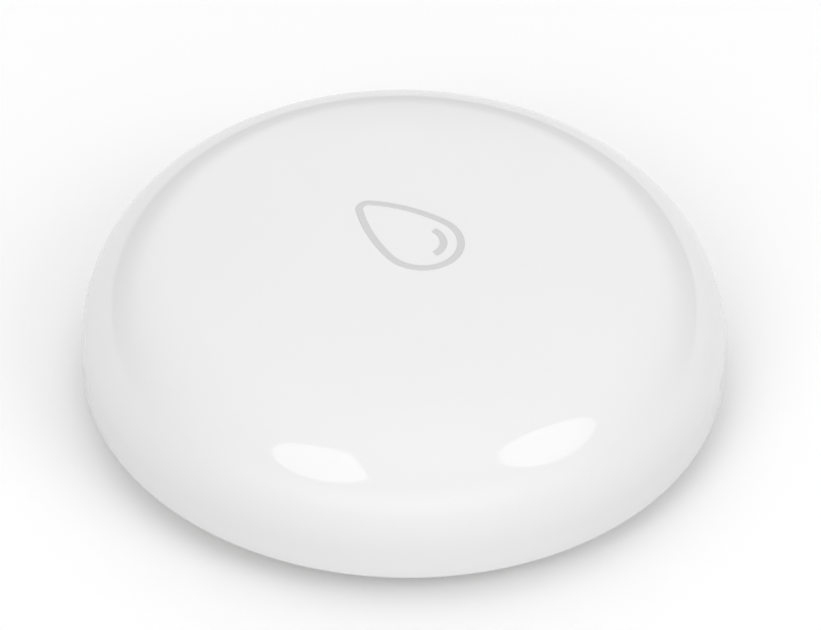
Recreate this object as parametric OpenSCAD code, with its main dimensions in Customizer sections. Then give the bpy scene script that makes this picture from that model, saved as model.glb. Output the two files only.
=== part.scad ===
// Water leak sensor: a domed cover that presses down on a round base, with a coin cell
// behind a bayonet door and two probe screws underneath.
// Millimetres, +Z up. The part stands on Z = 0 and the dome's axis is Z.
// The tip of the drop mark points to +Y and the probes lie along X.

/* [Cover] */
// Outside diameter of the cover
cover_d = 50; // [48:0.5:60]
// Height from the surface it stands on to the top of the crown
overall_h = 15; // [14.6:0.1:18]
// Wall thickness of the cover
cover_wall = 1.8; // [1.4:0.1:2.2]
// Height of the skirt's edge above the surface it stands on
skirt_gap = 1.8; // [1.4:0.1:2.2]
// Rounding between the skirt and the crown
shoulder_r = 9; // [6:0.5:9.5]
// Rise of the crown above the top of the shoulder
crown_rise = 1.4; // [0.8:0.1:2.4]
// Rounding of the skirt's outer edge
skirt_edge_r = 0.4; // [0.1:0.1:0.8]
// Diameter of the post that presses the switch
post_d = 4; // [3:0.1:6]
// Length of the stiffening ribs, from the axis
rib_l = 8; // [5:0.5:12]
// Thickness of the stiffening ribs
rib_t = 1; // [0.6:0.1:1.6]
// Depth of the stiffening ribs under the crown
rib_drop = 0.8; // [0.4:0.1:1.2]

/* [Drop mark] */
// Length of the drop
drop_l = 10; // [8:0.1:14]
// Width of the drop
drop_w = 6.6; // [5:0.1:7.5]
// Rounding of the tip
drop_tip_r = 1.05; // [0.7:0.05:1.5]
// Radius of the swelling sides
drop_side_r = 14; // [10:0.5:30]
// Width of the printed line
drop_line = 0.58; // [0.3:0.02:0.64]
// Radius of the gleam, at the middle of its line
gleam_r = 1.68; // [1:0.02:1.8]
// First and last angle of the gleam
gleam_from = -99; // [-120:1:-60]
gleam_to = 11; // [-30:1:40]
// Thickness of the ink
ink_t = 0.05; // [0.03:0.01:0.1]

/* [Press] */
// How far the cover presses down
press_travel = 0.25; // [0.15:0.05:0.4]
// Radial clearance between the cover and the base
slide_fit = 0.2; // [0.1:0.05:0.3]
// How far the snap beads reach into the base
bead_bite = 0.3; // [0.2:0.05:0.5]
// Height of a snap bead
bead_h = 0.7; // [0.5:0.05:0.9]
// Height of the beads above the skirt's edge
bead_lift = 0.4; // [0.3:0.05:0.6]
// Angle that each bead covers
bead_span = 26; // [15:1:40]
// Number of beads
bead_count = 4; // [3:1:6]
// Room above, below and behind a bead
bead_fit = 0.1; // [0.05:0.05:0.2]
// Thickness of the ring seal
seal_d = 1.1; // [0.8:0.05:1.3]
// Gap between the ring seal and the cover
seal_fit = 0.06; // [0.04:0.01:0.12]
// Width of the two keys that stop the cover from turning
key_w = 2; // [1.2:0.1:3]
// Clearance of a key in its notch
key_fit = 0.2; // [0.1:0.05:0.3]

/* [Base] */
// Height of the feet
foot_h = 0.6; // [0.5:0.05:0.9]
// Diameter of a foot
foot_d = 3.2; // [2:0.1:4.5]
// Thickness of the floor
base_floor = 1.6; // [1.2:0.1:2]
// Thickness of the wall
base_wall = 1.8; // [1.5:0.1:2.4]
// Chamfer of the lower edge
base_chamfer = 0.5; // [0.2:0.1:0.8]
// Height of the wall above the ring seal
lip_h = 1.1; // [0.9:0.1:1.3]
// Chamfer of the wall's top
lip_chamfer = 0.6; // [0.4:0.1:0.8]
// Land between the snap groove and the ring seal
seal_land = 0.5; // [0.3:0.1:0.8]

/* [Battery] */
// Diameter of the cell
cell_d = 20; // [18:0.1:21]
// Thickness of the cell
cell_h = 3.2; // [2.5:0.1:3.8]
// Clearance round the cell
cell_fit = 0.3; // [0.2:0.05:0.5]
// Gap under the cell
cell_gap = 0.2; // [0.1:0.05:0.4]
// Thickness of the cell's steel
can_t = 0.25; // [0.2:0.05:0.35]
// Width of the cell's plastic ring
gasket_w = 0.35; // [0.25:0.05:0.5]
// Thickness of the door
door_t = 1.2; // [1:0.1:1.6]
// Thickness of the pad behind the coin slot
pad_t = 0.5; // [0.3:0.1:0.8]
// Clearance round the door
door_fit = 0.2; // [0.1:0.05:0.3]
// Gap between the door and its seat
seat_gap = 0.1; // [0.05:0.05:0.2]
// Wall of the door's ring
ring_wall = 1; // [0.8:0.1:1.3]
// Reach of a bayonet lug
lug_reach = 0.8; // [0.6:0.1:1.1]
// Height of a bayonet lug
lug_h = 0.9; // [0.7:0.1:1.1]
// Angle that a lug covers
lug_span = 26; // [18:1:32]
// Number of lugs
lug_count = 3; // [2:1:3]
// Clearance above and below a lug
lug_fit = 0.1; // [0.05:0.05:0.2]
// Angle that the door turns to open
turn_angle = 45; // [40:1:50]
// Thickness of the ledge that the lugs hold on to
ledge_t = 1.1; // [0.9:0.1:1.3]
// Thickness of the door's O-ring
ring_seal_d = 0.75; // [0.6:0.05:0.85]
// Width of the coin slot
slot_w = 2.4; // [2:0.1:3]
// Depth of the coin slot
slot_depth = 1.1; // [0.8:0.1:1.2]
// Diameter of the coin that the slot is curved to
coin_d = 23; // [18:0.5:28]

/* [Board] */
// Thickness of the board
board_t = 1; // [0.8:0.1:1.6]
// Clearance between the board and the base wall
board_fit = 0.4; // [0.2:0.1:0.8]
// Gap between the cell and the board
spring_gap = 0.7; // [0.5:0.1:1]
// Diameter of the posts under the board
board_post_d = 4; // [3.4:0.1:4.6]
// Diameter of the board screws
board_screw_d = 1.7; // [1.4:0.1:2]
// Diameter of a board screw's head
board_head_d = 3.2; // [2.8:0.1:4]
// Height of a board screw's head
board_head_h = 1.1; // [0.8:0.1:1.4]
// Thickness of the contact strips
strip_t = 0.2; // [0.15:0.05:0.3]
// Width of the contact strips
strip_w = 4; // [3:0.5:5]
// Gap between a contact and the cell
contact_fit = 0.05; // [0.03:0.01:0.1]

/* [Probes] */
// Diameter of a probe screw's thread
probe_d = 2; // [1.6:0.1:2.6]
// Diameter of a probe screw's head
probe_head_d = 3.8; // [3.2:0.1:4.4]
// Height of a probe screw's head
probe_head_h = 1.3; // [1.1:0.1:1.5]
// Gap between a probe and the surface the part stands on
probe_gap = 0.2; // [0.1:0.05:0.4]
// Thickness of a probe's sealing washer
washer_t = 0.4; // [0.3:0.05:0.6]
// Thickness of the boss over the washer
boss_t = 1.6; // [1.2:0.1:2]
// Diameter of a probe boss
boss_d = 5.6; // [5:0.1:6.5]
// Width across the flats of a brass post
hex_w = 3.2; // [2.8:0.1:3.8]

/* [Switch] */
// Width of the switch
switch_w = 6; // [5:0.5:7]
// Height of its housing
housing_h = 2.3; // [1.9:0.1:2.7]
// Thickness of its steel frame
frame_t = 0.3; // [0.2:0.05:0.4]
// Diameter of its stem
stem_d = 3.4; // [2.8:0.1:3.6]
// Reach of the stem above the frame
stem_reach = 0.9; // [0.6:0.1:1.2]
// Gap between the stem and what it runs in or meets
stem_fit = 0.06; // [0.04:0.01:0.1]

/* [Board parts] */
// Side of the radio chip
chip_w = 7; // [5:0.5:8]
// Height of the radio chip
chip_h = 0.9; // [0.7:0.1:1.2]
// Length of the crystal
crystal_l = 3.2; // [2:0.1:4]
// Width of the crystal
crystal_w = 2.5; // [1.6:0.1:3]
// Height of the crystal
crystal_h = 0.7; // [0.5:0.1:1]
// Length of the reservoir capacitor
reservoir_l = 3.5; // [3:0.1:4]
// Width of the reservoir capacitor
reservoir_w = 2.8; // [1.6:0.1:3.2]
// Height of the reservoir capacitor
reservoir_h = 1.9; // [1.2:0.1:2]
// Length of the small chip parts
passive_l = 1.6; // [1:0.1:2]
// Width of the small chip parts
passive_w = 0.8; // [0.5:0.1:1.2]
// Height of the small chip parts
passive_h = 0.5; // [0.4:0.05:0.8]
// Length of the light
led_l = 2; // [1.6:0.1:2.4]
// Width of the light
led_w = 1.25; // [0.8:0.05:1.5]
// Height of the light
led_h = 0.75; // [0.5:0.05:1]
// Turns of the antenna
antenna_turns = 6; // [3:1:7]
// Distance between the antenna's bars
antenna_pitch = 2.4; // [1.6:0.1:2.4]
// Length of the antenna's bars
antenna_l = 3.6; // [2.4:0.1:3.8]
// Width of the antenna's line
antenna_w = 0.8; // [0.4:0.1:1]
// Thickness of the antenna's copper
antenna_t = 0.07; // [0.05:0.01:0.1]

/* [Hidden] */
$fn = 96;
// Facets of the two large, flat arcs of the crown
crown_fn = 480;
// Overshoot of a cut
over = 1;
// Root of a feature inside the wall that carries it
root = 0.4;
// Gap of a screw in its hole
thread_fit = 0.03;

// Cover: the crown's arc meets the shoulder's arc without a corner
cover_r = cover_d / 2;
shoulder_z = overall_h - crown_rise - shoulder_r;
shoulder_x = cover_r - shoulder_r;
crown_r = (pow(shoulder_x, 2) + pow(shoulder_r + crown_rise, 2) - pow(shoulder_r, 2)) / (2 * crown_rise);
crown_z = overall_h - crown_r;
blend = [shoulder_x, shoulder_z - crown_z] / norm([shoulder_x, shoulder_z - crown_z]);
cover_in_r = cover_r - cover_wall;

// Base wall, from its lower edge up
base_r = cover_in_r - slide_fit;
base_in_r = base_r - base_wall;
floor_top = foot_h + base_floor;
bead_z = skirt_gap + bead_lift;
bead_in_r = base_r - bead_bite;
snap_low = bead_z - press_travel - bead_fit;
snap_high = bead_z + bead_h + bead_fit;
seal_room = 0.05;
seal_low = snap_high + seal_land;
seal_high = seal_low + seal_d + 2 * seal_room;
seal_reach = max(0, seal_high + press_travel - shoulder_z);
seal_face_r = shoulder_x + sqrt(pow(shoulder_r - cover_wall, 2) - pow(seal_reach, 2));
seal_r = seal_face_r - seal_fit - seal_d / 2;
seal_groove_r = seal_r - seal_d / 2 - seal_room;
wall_top = seal_high + lip_h;
key_z = wall_top - lip_h / 2;
key_in_r = base_in_r + key_fit;
key_top = shoulder_z + shoulder_r / 2;
key_angles = [45, 225];

// Battery bay, from the cell outwards and from the door up
cell_r = cell_d / 2;
ring_in_r = cell_r + cell_fit;
ring_r = ring_in_r + ring_wall;
bore_r = ring_r + door_fit;
lug_r = ring_r + lug_reach;
groove_r = lug_r + door_fit;
hub_wall = 1.2;
hub_r = groove_r + hub_wall;
ring_seal_land = 0.3;
ring_seal_room = 0.12;
ring_seal_in_r = groove_r + ring_seal_land;
ring_seal_out_r = ring_seal_in_r + ring_seal_d + 2 * ring_seal_room;
ring_seal_r = (ring_seal_in_r + ring_seal_out_r) / 2;
rim_w = 0.6;
door_r = ring_seal_out_r + rim_w;
recess_r = door_r + door_fit;
seat_r = recess_r + hub_wall;
door_top = foot_h + door_t;
seat_z = door_top + seat_gap;
ring_seal_lift = 0.04;
ring_seal_z = seat_z - ring_seal_lift - ring_seal_d / 2;
ledge_top = seat_z + ledge_t;
lug_z = ledge_top + lug_fit;
ring_top = lug_z + lug_h;
roof_z = ring_top + lug_fit;
cell_z = door_top + pad_t + cell_gap;
cell_top = cell_z + cell_h;
hub_top = cell_top - cell_gap;
pad_r = ring_in_r - cell_fit - root;
lug_pitch = 360 / lug_count;
notch_fit = 3;
stop_gap = 1;
stop_span = 4;
clip_angle = 150;
mark_d = 1.2;
mark_depth = 0.3;
mark_r = (recess_r + base_r - base_chamfer) / 2;
// The marks stand beside the first foot and the first lug's way to its notch
mark_angle = 60;

// Board, feet and probes
board_z = cell_top + spring_gap;
board_top = board_z + board_t;
board_r = base_in_r - board_fit;
board_post_pos = (hub_r + base_in_r) / 2;
board_post_angles = [90, 210, 330];
foot_pos = (recess_r + base_r) / 2;
hex_gap = 0.25;
probe_pos = base_in_r - hex_gap - hex_w / 2;
washer_z = probe_gap + probe_head_h;
boss_z = washer_z + washer_t;
boss_top = boss_z + boss_t;
probe_fit = 0.2;
probe_tip = board_z - probe_fit;
spigot_d = 2.2;
spigot_fit = 0.05;
spigot_reach = 0.4;

// Switch, from the board up
housing_top = board_top + housing_h;
frame_top = housing_top + frame_t;
stem_top = frame_top + stem_reach;
well_floor = board_top + 0.3 * housing_h;
dome_r = 2;
dome_h = 0.45;
dome_t = 0.1;
flange_d = 1.18 * stem_d;
well_r = flange_d / 2 + 2 * stem_fit;
flange_h = 0.3 * housing_h;
post_z = stem_top + stem_fit;

// Places on the board, from its centre
led_pos = [8.5, 5];
chip_pos = [-10, 5.5];
crystal_pos = [-10, -1.5];
reservoir_pos = [9.5, -6];
// Each place is x, y and the angle that the piece is turned by
passive_places = [
    [-15.4, 4, 90], [-15.4, 7, 90], [-12.4, 10.8, 0], [-9.6, 10.8, 0], [-7.2, 12.6, 90],
    [8.5, 8, 0], [12, 5, 90], [12, 8, 90], [9.5, -1.5, 0], [12.4, -1.5, 0],
    [-6.6, -1.5, 90], [-13.4, -1.5, 90], [-5, -11.5, 0], [-2, -11.5, 0], [3, -11.5, 90]
];
// The antenna keeps to the board's edge
antenna_edge = 3;
antenna_y = antenna_edge - board_r;

// A flat sector from one angle to another
module sector(from, to, reach) {
    mid = (from + to) / 2;
    far = reach / cos((to - from) / 4);
    polygon([
        [0, 0],
        far * [cos(from), sin(from)],
        far * [cos(mid), sin(mid)],
        far * [cos(to), sin(to)]
    ]);
}

// A stretch of a flat-topped ring
module ring_stretch(inner, outer, low, high, from, to) {
    translate([0, 0, low])
        linear_extrude(high - low)
            intersection() {
                difference() {
                    circle(outer);
                    circle(inner);
                }
                sector(from, to, 2 * outer);
            }
}

// A ring with a square section
module ring(inner, outer, low, high) {
    rotate_extrude()
        translate([inner, low])
            square([outer - inner, high - low]);
}

// A round bar or cut between two heights
module bar(d, low, high) {
    translate([0, 0, low])
        cylinder(d = d, h = high - low);
}

// A block centred on a place on the board
module block(place, size, z) {
    translate([place.x - size.x / 2, place.y - size.y / 2, z])
        cube(size);
}

// Half section of the cover's form, drawn in by an inset
module cover_section(inset, low, edge) {
    centre = [shoulder_x, shoulder_z];
    r = shoulder_r - inset;
    meet = centre + r * blend;
    out = cover_r - inset;
    far = 2 * overall_h;
    polygon([
        [0, low],
        [out - edge, low],
        [out - edge, low + edge],
        [out, low + edge],
        [out, shoulder_z],
        meet,
        [0, meet.y]
    ]);
    intersection() {
        translate(centre)
            circle(r);
        polygon([[out, shoulder_z], [out + far, shoulder_z], meet + [far, far], meet + far * blend, meet]);
    }
    intersection() {
        translate([0, crown_z])
            circle(crown_r - inset, $fn = crown_fn);
        polygon([[0, meet.y], meet, meet + far * blend, [0, overall_h + far]]);
    }
    if (edge > 0)
        intersection() {
            translate([out - edge, low + edge])
                circle(edge);
            translate([out - edge, low - edge])
                square([2 * edge, 2 * edge]);
        }
}

module cover_form(inset, low, edge = 0) {
    rotate_extrude()
        cover_section(inset, low, edge);
}

module snap_beads() {
    wall = cover_in_r + root;
    pitch = 360 / bead_count;
    for (i = [0 : bead_count - 1])
        rotate([0, 0, i * pitch - bead_span / 2])
            rotate_extrude(angle = bead_span)
                polygon([
                    [wall, bead_z],
                    [cover_in_r, bead_z],
                    [bead_in_r, bead_z + bead_h / 2],
                    [bead_in_r, bead_z + bead_h],
                    [wall, bead_z + bead_h]
                ]);
}

module cover_keys() {
    for (a = key_angles)
        rotate([0, 0, a])
            translate([key_in_r, -key_w / 2, key_z])
                cube([cover_r - key_in_r, key_w, key_top - key_z]);
}

module cover_ribs() {
    rib_z = overall_h - cover_wall - rib_drop;
    rib_in = post_d / 2 - root;
    for (a = [0 : 90 : 270])
        rotate([0, 0, a])
            translate([rib_in, -rib_t / 2, rib_z])
                cube([rib_l - rib_in, rib_t, overall_h - rib_z]);
}

module top_cover() {
    color("whitesmoke") {
        difference() {
            cover_form(0, skirt_gap, skirt_edge_r);
            cover_form(cover_wall, skirt_gap - over);
        }
        snap_beads();
        // Keys, post and ribs grow from the middle of the wall
        intersection() {
            cover_form(cover_wall / 2, skirt_gap);
            union() {
                cover_keys();
                cover_ribs();
                bar(post_d, post_z, overall_h);
            }
        }
    }
}

// Points on an arc, from one angle to another
function arc(centre, r, from, to, steps) =
    [for (i = [0 : steps]) centre + r * [cos(from + (to - from) * i / steps), sin(from + (to - from) * i / steps)]];

// Outline of the drop, drawn in by an inset, with the middle of its length at the origin:
// a round end, a round tip and two swelling sides that meet them without a corner
module drop_outline(inset) {
    round_r = drop_w / 2;
    apart = drop_l - round_r - drop_tip_r;
    to_round = drop_side_r - round_r;
    to_tip = drop_side_r - drop_tip_r;
    side_y = (pow(apart, 2) + pow(to_round, 2) - pow(to_tip, 2)) / (2 * apart);
    side_x = sqrt(pow(to_round, 2) - pow(side_y, 2));
    low = asin(-side_y / to_round);
    high = asin((apart - side_y) / to_tip);
    right = concat(
        arc([0, 0], round_r - inset, -90, low, 14),
        arc([-side_x, side_y], drop_side_r - inset, low, high, 8),
        arc([0, apart], drop_tip_r - inset, high, 90, 6)
    );
    left = [for (i = [len(right) - 2 : -1 : 1]) [-right[i].x, right[i].y]];
    translate([0, round_r - drop_l / 2])
        polygon(concat(right, left));
}

module drop_flat() {
    difference() {
        drop_outline(0);
        drop_outline(drop_line);
    }
    translate([0, (drop_w - drop_l) / 2])
        intersection() {
            difference() {
                circle(gleam_r + drop_line / 2);
                circle(gleam_r - drop_line / 2);
            }
            sector(gleam_from, gleam_to, 2 * drop_l);
        }
}

module drop_mark() {
    color("silver")
        intersection() {
            translate([0, 0, shoulder_z])
                linear_extrude(overall_h)
                    drop_flat();
            rotate_extrude()
                intersection() {
                    translate([0, crown_z])
                        difference() {
                            circle(crown_r + ink_t, $fn = crown_fn);
                            circle(crown_r, $fn = crown_fn);
                        }
                    translate([0, shoulder_z])
                        square([drop_l, overall_h]);
                }
        }
}

// The wall keeps clear of the inside of the pressed cover
module base_tub() {
    rotate_extrude()
        intersection() {
            polygon([
                [0, foot_h],
                [base_r - base_chamfer, foot_h],
                [base_r, foot_h + base_chamfer],
                [base_r, wall_top - lip_chamfer],
                [base_r - lip_chamfer, wall_top],
                [base_in_r, wall_top],
                [base_in_r, floor_top],
                [0, floor_top]
            ]);
            translate([0, -press_travel])
                cover_section(cover_wall + slide_fit, 0, 0);
        }
}

// The well that the bayonet ring turns in: seat, bore, lug groove with its stops, entry notches
module door_well() {
    bar(2 * recess_r, 0, seat_z);
    bar(2 * bore_r, 0, roof_z);
    bar(2 * ring_in_r, 0, hub_top + over);
    difference() {
        bar(2 * groove_r, ledge_top, roof_z);
        for (i = [0 : lug_count - 1]) {
            closed = i * lug_pitch + lug_span / 2 + stop_gap;
            open = i * lug_pitch - turn_angle - lug_span / 2 - stop_gap;
            ring_stretch(bore_r, hub_r, ledge_top - over, roof_z + over, closed, closed + stop_span);
            ring_stretch(bore_r, hub_r, ledge_top - over, roof_z + over, open - stop_span, open);
        }
    }
    for (i = [0 : lug_count - 1]) {
        middle = i * lug_pitch - turn_angle;
        half = lug_span / 2 + notch_fit;
        ring_stretch(bore_r - over, groove_r, seat_z - over, ledge_top + lug_fit, middle - half, middle + half);
    }
}

module probe_places() {
    for (side = [-1, 1])
        translate([side * probe_pos, 0, 0])
            children();
}

module board_post_places() {
    for (a = board_post_angles)
        rotate([0, 0, a])
            translate([board_post_pos, 0, 0])
                children();
}

module base_shell() {
    pilot_d = board_screw_d + 2 * thread_fit;
    color("gainsboro")
        difference() {
            union() {
                base_tub();
                bar(2 * hub_r, foot_h, hub_top);
                bar(2 * seat_r, foot_h, ledge_top);
                intersection() {
                    probe_places()
                        bar(boss_d, foot_h, boss_top);
                    bar(2 * base_r - base_wall, foot_h, boss_top);
                }
                board_post_places()
                    bar(board_post_d, foot_h, board_z);
                for (a = board_post_angles)
                    rotate([0, 0, a])
                        translate([foot_pos, 0, 0])
                            bar(foot_d, 0, floor_top);
            }
            door_well();
            ring(bead_in_r - bead_fit, base_r + over, snap_low, snap_high);
            ring(seal_groove_r, base_r + over, seal_low, seal_high);
            for (a = key_angles)
                rotate([0, 0, a])
                    translate([base_in_r - over, -key_w / 2 - key_fit, key_z - press_travel - key_fit])
                        cube([base_wall + 2 * over, key_w + 2 * key_fit, wall_top]);
            rotate([0, 0, clip_angle])
                translate([cell_r, -strip_w / 2 - cell_fit, roof_z - over])
                    cube([ring_wall + cell_fit, strip_w + 2 * cell_fit, hub_top]);
            probe_places() {
                bar(probe_head_d + 2 * probe_fit, -over, boss_z);
                bar(probe_d + 2 * probe_fit, 0, boss_top + over);
            }
            board_post_places()
                bar(pilot_d, floor_top, board_z + over);
            for (a = [mark_angle, mark_angle - turn_angle])
                rotate([0, 0, a])
                    translate([mark_r, 0, 0])
                        bar(mark_d, 0, foot_h + mark_depth);
        }
}

module perimeter_seal() {
    color("dimgray")
        rotate_extrude()
            translate([seal_r, (seal_low + seal_high) / 2])
                circle(d = seal_d);
}

module probe_screw() {
    edge = 0.2 * probe_head_h;
    slot = [0.2 * probe_head_d, 0.4 * probe_head_h];
    color("lightgray")
        difference() {
            union() {
                bar(probe_d, washer_z - edge, probe_tip);
                rotate_extrude()
                    polygon([
                        [0, probe_gap],
                        [probe_head_d / 2 - edge, probe_gap],
                        [probe_head_d / 2, probe_gap + edge],
                        [probe_head_d / 2, washer_z],
                        [0, washer_z]
                    ]);
            }
            translate([-probe_head_d, -slot.x / 2, probe_gap - over])
                cube([2 * probe_head_d, slot.x, over + slot.y]);
        }
}

module probe_screw_left() {
    translate([-probe_pos, 0, 0])
        probe_screw();
}

module probe_screw_right() {
    translate([probe_pos, 0, 0])
        probe_screw();
}

module probe_seals() {
    color("dimgray")
        probe_places()
            ring(probe_d / 2 + thread_fit, probe_head_d / 2, washer_z, boss_z);
}

module probe_posts() {
    hex_d = hex_w / cos(30);
    color("goldenrod")
        probe_places()
            difference() {
                union() {
                    // A flat faces the wall
                    translate([0, 0, boss_top])
                        rotate([0, 0, 30])
                            cylinder(d = hex_d, h = board_z - boss_top, $fn = 6);
                    bar(spigot_d, board_z - root, board_top + spigot_reach);
                }
                bar(probe_d + 2 * thread_fit, boss_top - over, probe_tip + thread_fit);
            }
}

module circuit_board() {
    screw_hole_d = board_screw_d + 2 * probe_fit;
    color("darkgreen")
        difference() {
            bar(2 * board_r, board_z, board_top);
            board_post_places()
                bar(screw_hole_d, board_z - over, board_top + over);
            probe_places()
                bar(spigot_d + 2 * spigot_fit, board_z - over, board_top + over);
        }
}

module board_screws() {
    cross = [0.6 * board_head_d, 0.14 * board_head_d, 0.55 * board_head_h];
    head_top = board_top + board_head_h;
    color("darkgray")
        board_post_places()
            difference() {
                union() {
                    bar(board_screw_d, floor_top + root, head_top - root);
                    bar(board_head_d, board_top, head_top);
                }
                for (a = [0, 90])
                    rotate([0, 0, a])
                        block([0, 0], [cross.x, cross.y, cross.z + over], head_top - cross.z);
            }
}

module switch_housing() {
    color("dimgray")
        difference() {
            block([0, 0], [switch_w, switch_w, housing_h], board_top);
            bar(2 * well_r, well_floor, housing_top + over);
        }
}

module switch_frame() {
    tab = [switch_w / 2, frame_t, housing_h / 2];
    color("silver")
        difference() {
            union() {
                block([0, 0], [switch_w, switch_w + 2 * frame_t, frame_t], housing_top);
                for (side = [-1, 1])
                    block([0, side * (switch_w + frame_t) / 2], tab, housing_top - tab.z);
            }
            bar(stem_d + 2 * stem_fit, housing_top - over, frame_top + over);
        }
}

module switch_terminals() {
    foot = [0.22 * switch_w, 0.12 * switch_w, 0.6 * frame_t];
    rise = 0.4 * housing_h;
    color("lightgray")
        for (x = [-1, 1], y = [-1, 1])
            translate([x * switch_w / 2, y * switch_w / 3, board_top]) {
                block([x * foot.x / 2, 0], foot, 0);
                block([x * foot.z / 2, 0], [foot.z, foot.y, rise], 0);
            }
}

module switch_dome() {
    shell_r = (pow(dome_r, 2) + pow(dome_h, 2)) / (2 * dome_h);
    color("silver")
        translate([0, 0, well_floor + dome_h - shell_r])
            intersection() {
                difference() {
                    sphere(shell_r);
                    sphere(shell_r - dome_t);
                }
                bar(2 * well_r, shell_r - dome_h, shell_r + over);
            }
}

module switch_stem() {
    flange_top = housing_top - stem_fit;
    nub_z = well_floor + dome_h + stem_fit;
    nub_d = stem_d / 3;
    color("black") {
        bar(stem_d, flange_top - flange_h, stem_top);
        bar(flange_d, flange_top - flange_h, flange_top);
        bar(nub_d, nub_z, flange_top);
    }
}

module status_led() {
    body = [led_l, led_w, 0.6 * led_h];
    lens = [0.6 * led_l, led_w, led_h];
    color("lightyellow") {
        block(led_pos, body, board_top);
        block(led_pos, lens, board_top);
    }
}

module radio_chip() {
    dot_d = 0.1 * chip_w;
    dot_depth = 0.1 * chip_h;
    dot_in = chip_w / 2 - 1.3 * dot_d;
    color("black")
        difference() {
            block(chip_pos, [chip_w, chip_w, chip_h], board_top);
            translate(chip_pos + [-dot_in, dot_in])
                bar(dot_d, board_top + chip_h - dot_depth, board_top + chip_h + over);
        }
}

module crystal() {
    ledge = 0.15 * crystal_w;
    base = [crystal_l, crystal_w, 0.4 * crystal_h];
    lid = [crystal_l - ledge, crystal_w - ledge, crystal_h];
    color("silver") {
        block(crystal_pos, base, board_top);
        block(crystal_pos, lid, board_top);
    }
}

module reservoir_capacitor() {
    body = [reservoir_l, reservoir_w, reservoir_h];
    ends = [1.28 * reservoir_l, 0.8 * reservoir_w, 0.1 * reservoir_h];
    color("goldenrod") {
        block(reservoir_pos, body, board_top);
        block(reservoir_pos, ends, board_top);
    }
}

module board_passives() {
    color("burlywood")
        for (p = passive_places)
            translate([p.x, p.y, 0])
                rotate([0, 0, p.z])
                    block([0, 0], [passive_l, passive_w, passive_h], board_top);
}

module antenna_trace() {
    width = antenna_turns * antenna_pitch;
    color("peru")
        translate([-width / 2, antenna_y, board_top])
            linear_extrude(antenna_t) {
                for (i = [0 : antenna_turns])
                    translate([i * antenna_pitch - antenna_w / 2, 0])
                        square([antenna_w, antenna_l]);
                for (i = [0 : antenna_turns - 1])
                    translate([i * antenna_pitch, i % 2 == 0 ? 0 : antenna_l - antenna_w])
                        square([antenna_pitch, antenna_w]);
            }
}

module positive_clip() {
    near = cell_r + contact_fit;
    foot_l = 0.34 * cell_r;
    flare = 1.75 * strip_t;
    tip_z = roof_z + strip_t / 2;
    bend_z = tip_z + flare;
    color("silver")
        rotate([0, 0, clip_angle])
            rotate([90, 0, 0])
                translate([0, 0, -strip_w / 2])
                    linear_extrude(strip_w)
                        polygon([
                            [near, board_z],
                            [near + foot_l, board_z],
                            [near + foot_l, board_z - strip_t],
                            [near + strip_t, board_z - strip_t],
                            [near + strip_t, bend_z],
                            [near + strip_t + flare, tip_z],
                            [near + flare, tip_z],
                            [near, bend_z]
                        ]);
}

module negative_spring() {
    touch = cell_top + contact_fit;
    heel = cell_r * [-0.7, -0.3];
    toe = cell_r * [0.25, 0.35, 0.46];
    tip_z = (touch + board_z) / 2;
    color("silver")
        rotate([90, 0, 0])
            translate([0, 0, -strip_w / 2])
                linear_extrude(strip_w)
                    polygon([
                        [heel.x, board_z],
                        [heel.y, board_z],
                        [toe.x, touch + strip_t],
                        [toe.y, touch + strip_t],
                        [toe.z, tip_z],
                        [toe.z, tip_z - strip_t],
                        [toe.y, touch],
                        [toe.x, touch],
                        [heel.y, board_z - strip_t],
                        [heel.x, board_z - strip_t]
                    ]);
}

// The cell's can, ring and cap nest from the outside in
crimp_w = 3 * can_t;
cap_r = cell_r - crimp_w - gasket_w;
crimp_z = cell_z + cell_h - can_t - 0.1;

module cell_can() {
    edge = 0.4;
    color("silver")
        rotate_extrude()
            polygon([
                [0, cell_z],
                [cell_r - edge, cell_z],
                [cell_r, cell_z + edge],
                [cell_r, crimp_z],
                [cell_r - crimp_w, crimp_z],
                [cell_r - crimp_w, crimp_z - can_t],
                [cell_r - can_t, crimp_z - can_t],
                [cell_r - can_t, cell_z + edge],
                [cell_r - edge - can_t, cell_z + can_t],
                [0, cell_z + can_t]
            ]);
}

module cell_gasket() {
    color("gray")
        rotate_extrude()
            polygon([
                [cap_r, cell_z + 2 * can_t],
                [cell_r - crimp_w, cell_z + 2 * can_t],
                [cell_r - crimp_w, crimp_z],
                [cap_r, crimp_z]
            ]);
}

module cell_cap() {
    edge = 0.3;
    color("lightgray")
        rotate_extrude()
            polygon([
                [0, cell_top],
                [cap_r - edge, cell_top],
                [cap_r, cell_top - edge],
                [cap_r, cell_z + 2 * can_t],
                [cap_r - can_t, cell_z + 2 * can_t],
                [cap_r - can_t, cell_top - edge - can_t / 2],
                [cap_r - edge - can_t / 2, cell_top - can_t],
                [0, cell_top - can_t]
            ]);
}

module battery_cover() {
    pointer = [1.6, 1.4];
    pointer_r = door_r - rim_w;
    color("whitesmoke")
        difference() {
            union() {
                bar(2 * door_r, foot_h, door_top);
                bar(2 * pad_r, foot_h, door_top + pad_t);
                ring(ring_in_r, ring_r, door_top - root, ring_top);
                for (i = [0 : lug_count - 1])
                    ring_stretch(ring_r - root, lug_r, lug_z, ring_top,
                        i * lug_pitch - lug_span / 2, i * lug_pitch + lug_span / 2);
            }
            ring(ring_seal_in_r, ring_seal_out_r, ring_seal_z - ring_seal_d / 2 - ring_seal_lift, door_top + over);
            translate([0, slot_w / 2, foot_h + slot_depth - coin_d / 2])
                rotate([90, 0, 0])
                    cylinder(d = coin_d, h = slot_w);
            rotate([0, 0, mark_angle])
                translate([pointer_r, 0, 0])
                    linear_extrude(foot_h + mark_depth)
                        polygon([[0, 0], [-pointer.x, pointer.y / 2], [-pointer.x, -pointer.y / 2]]);
        }
}

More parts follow.
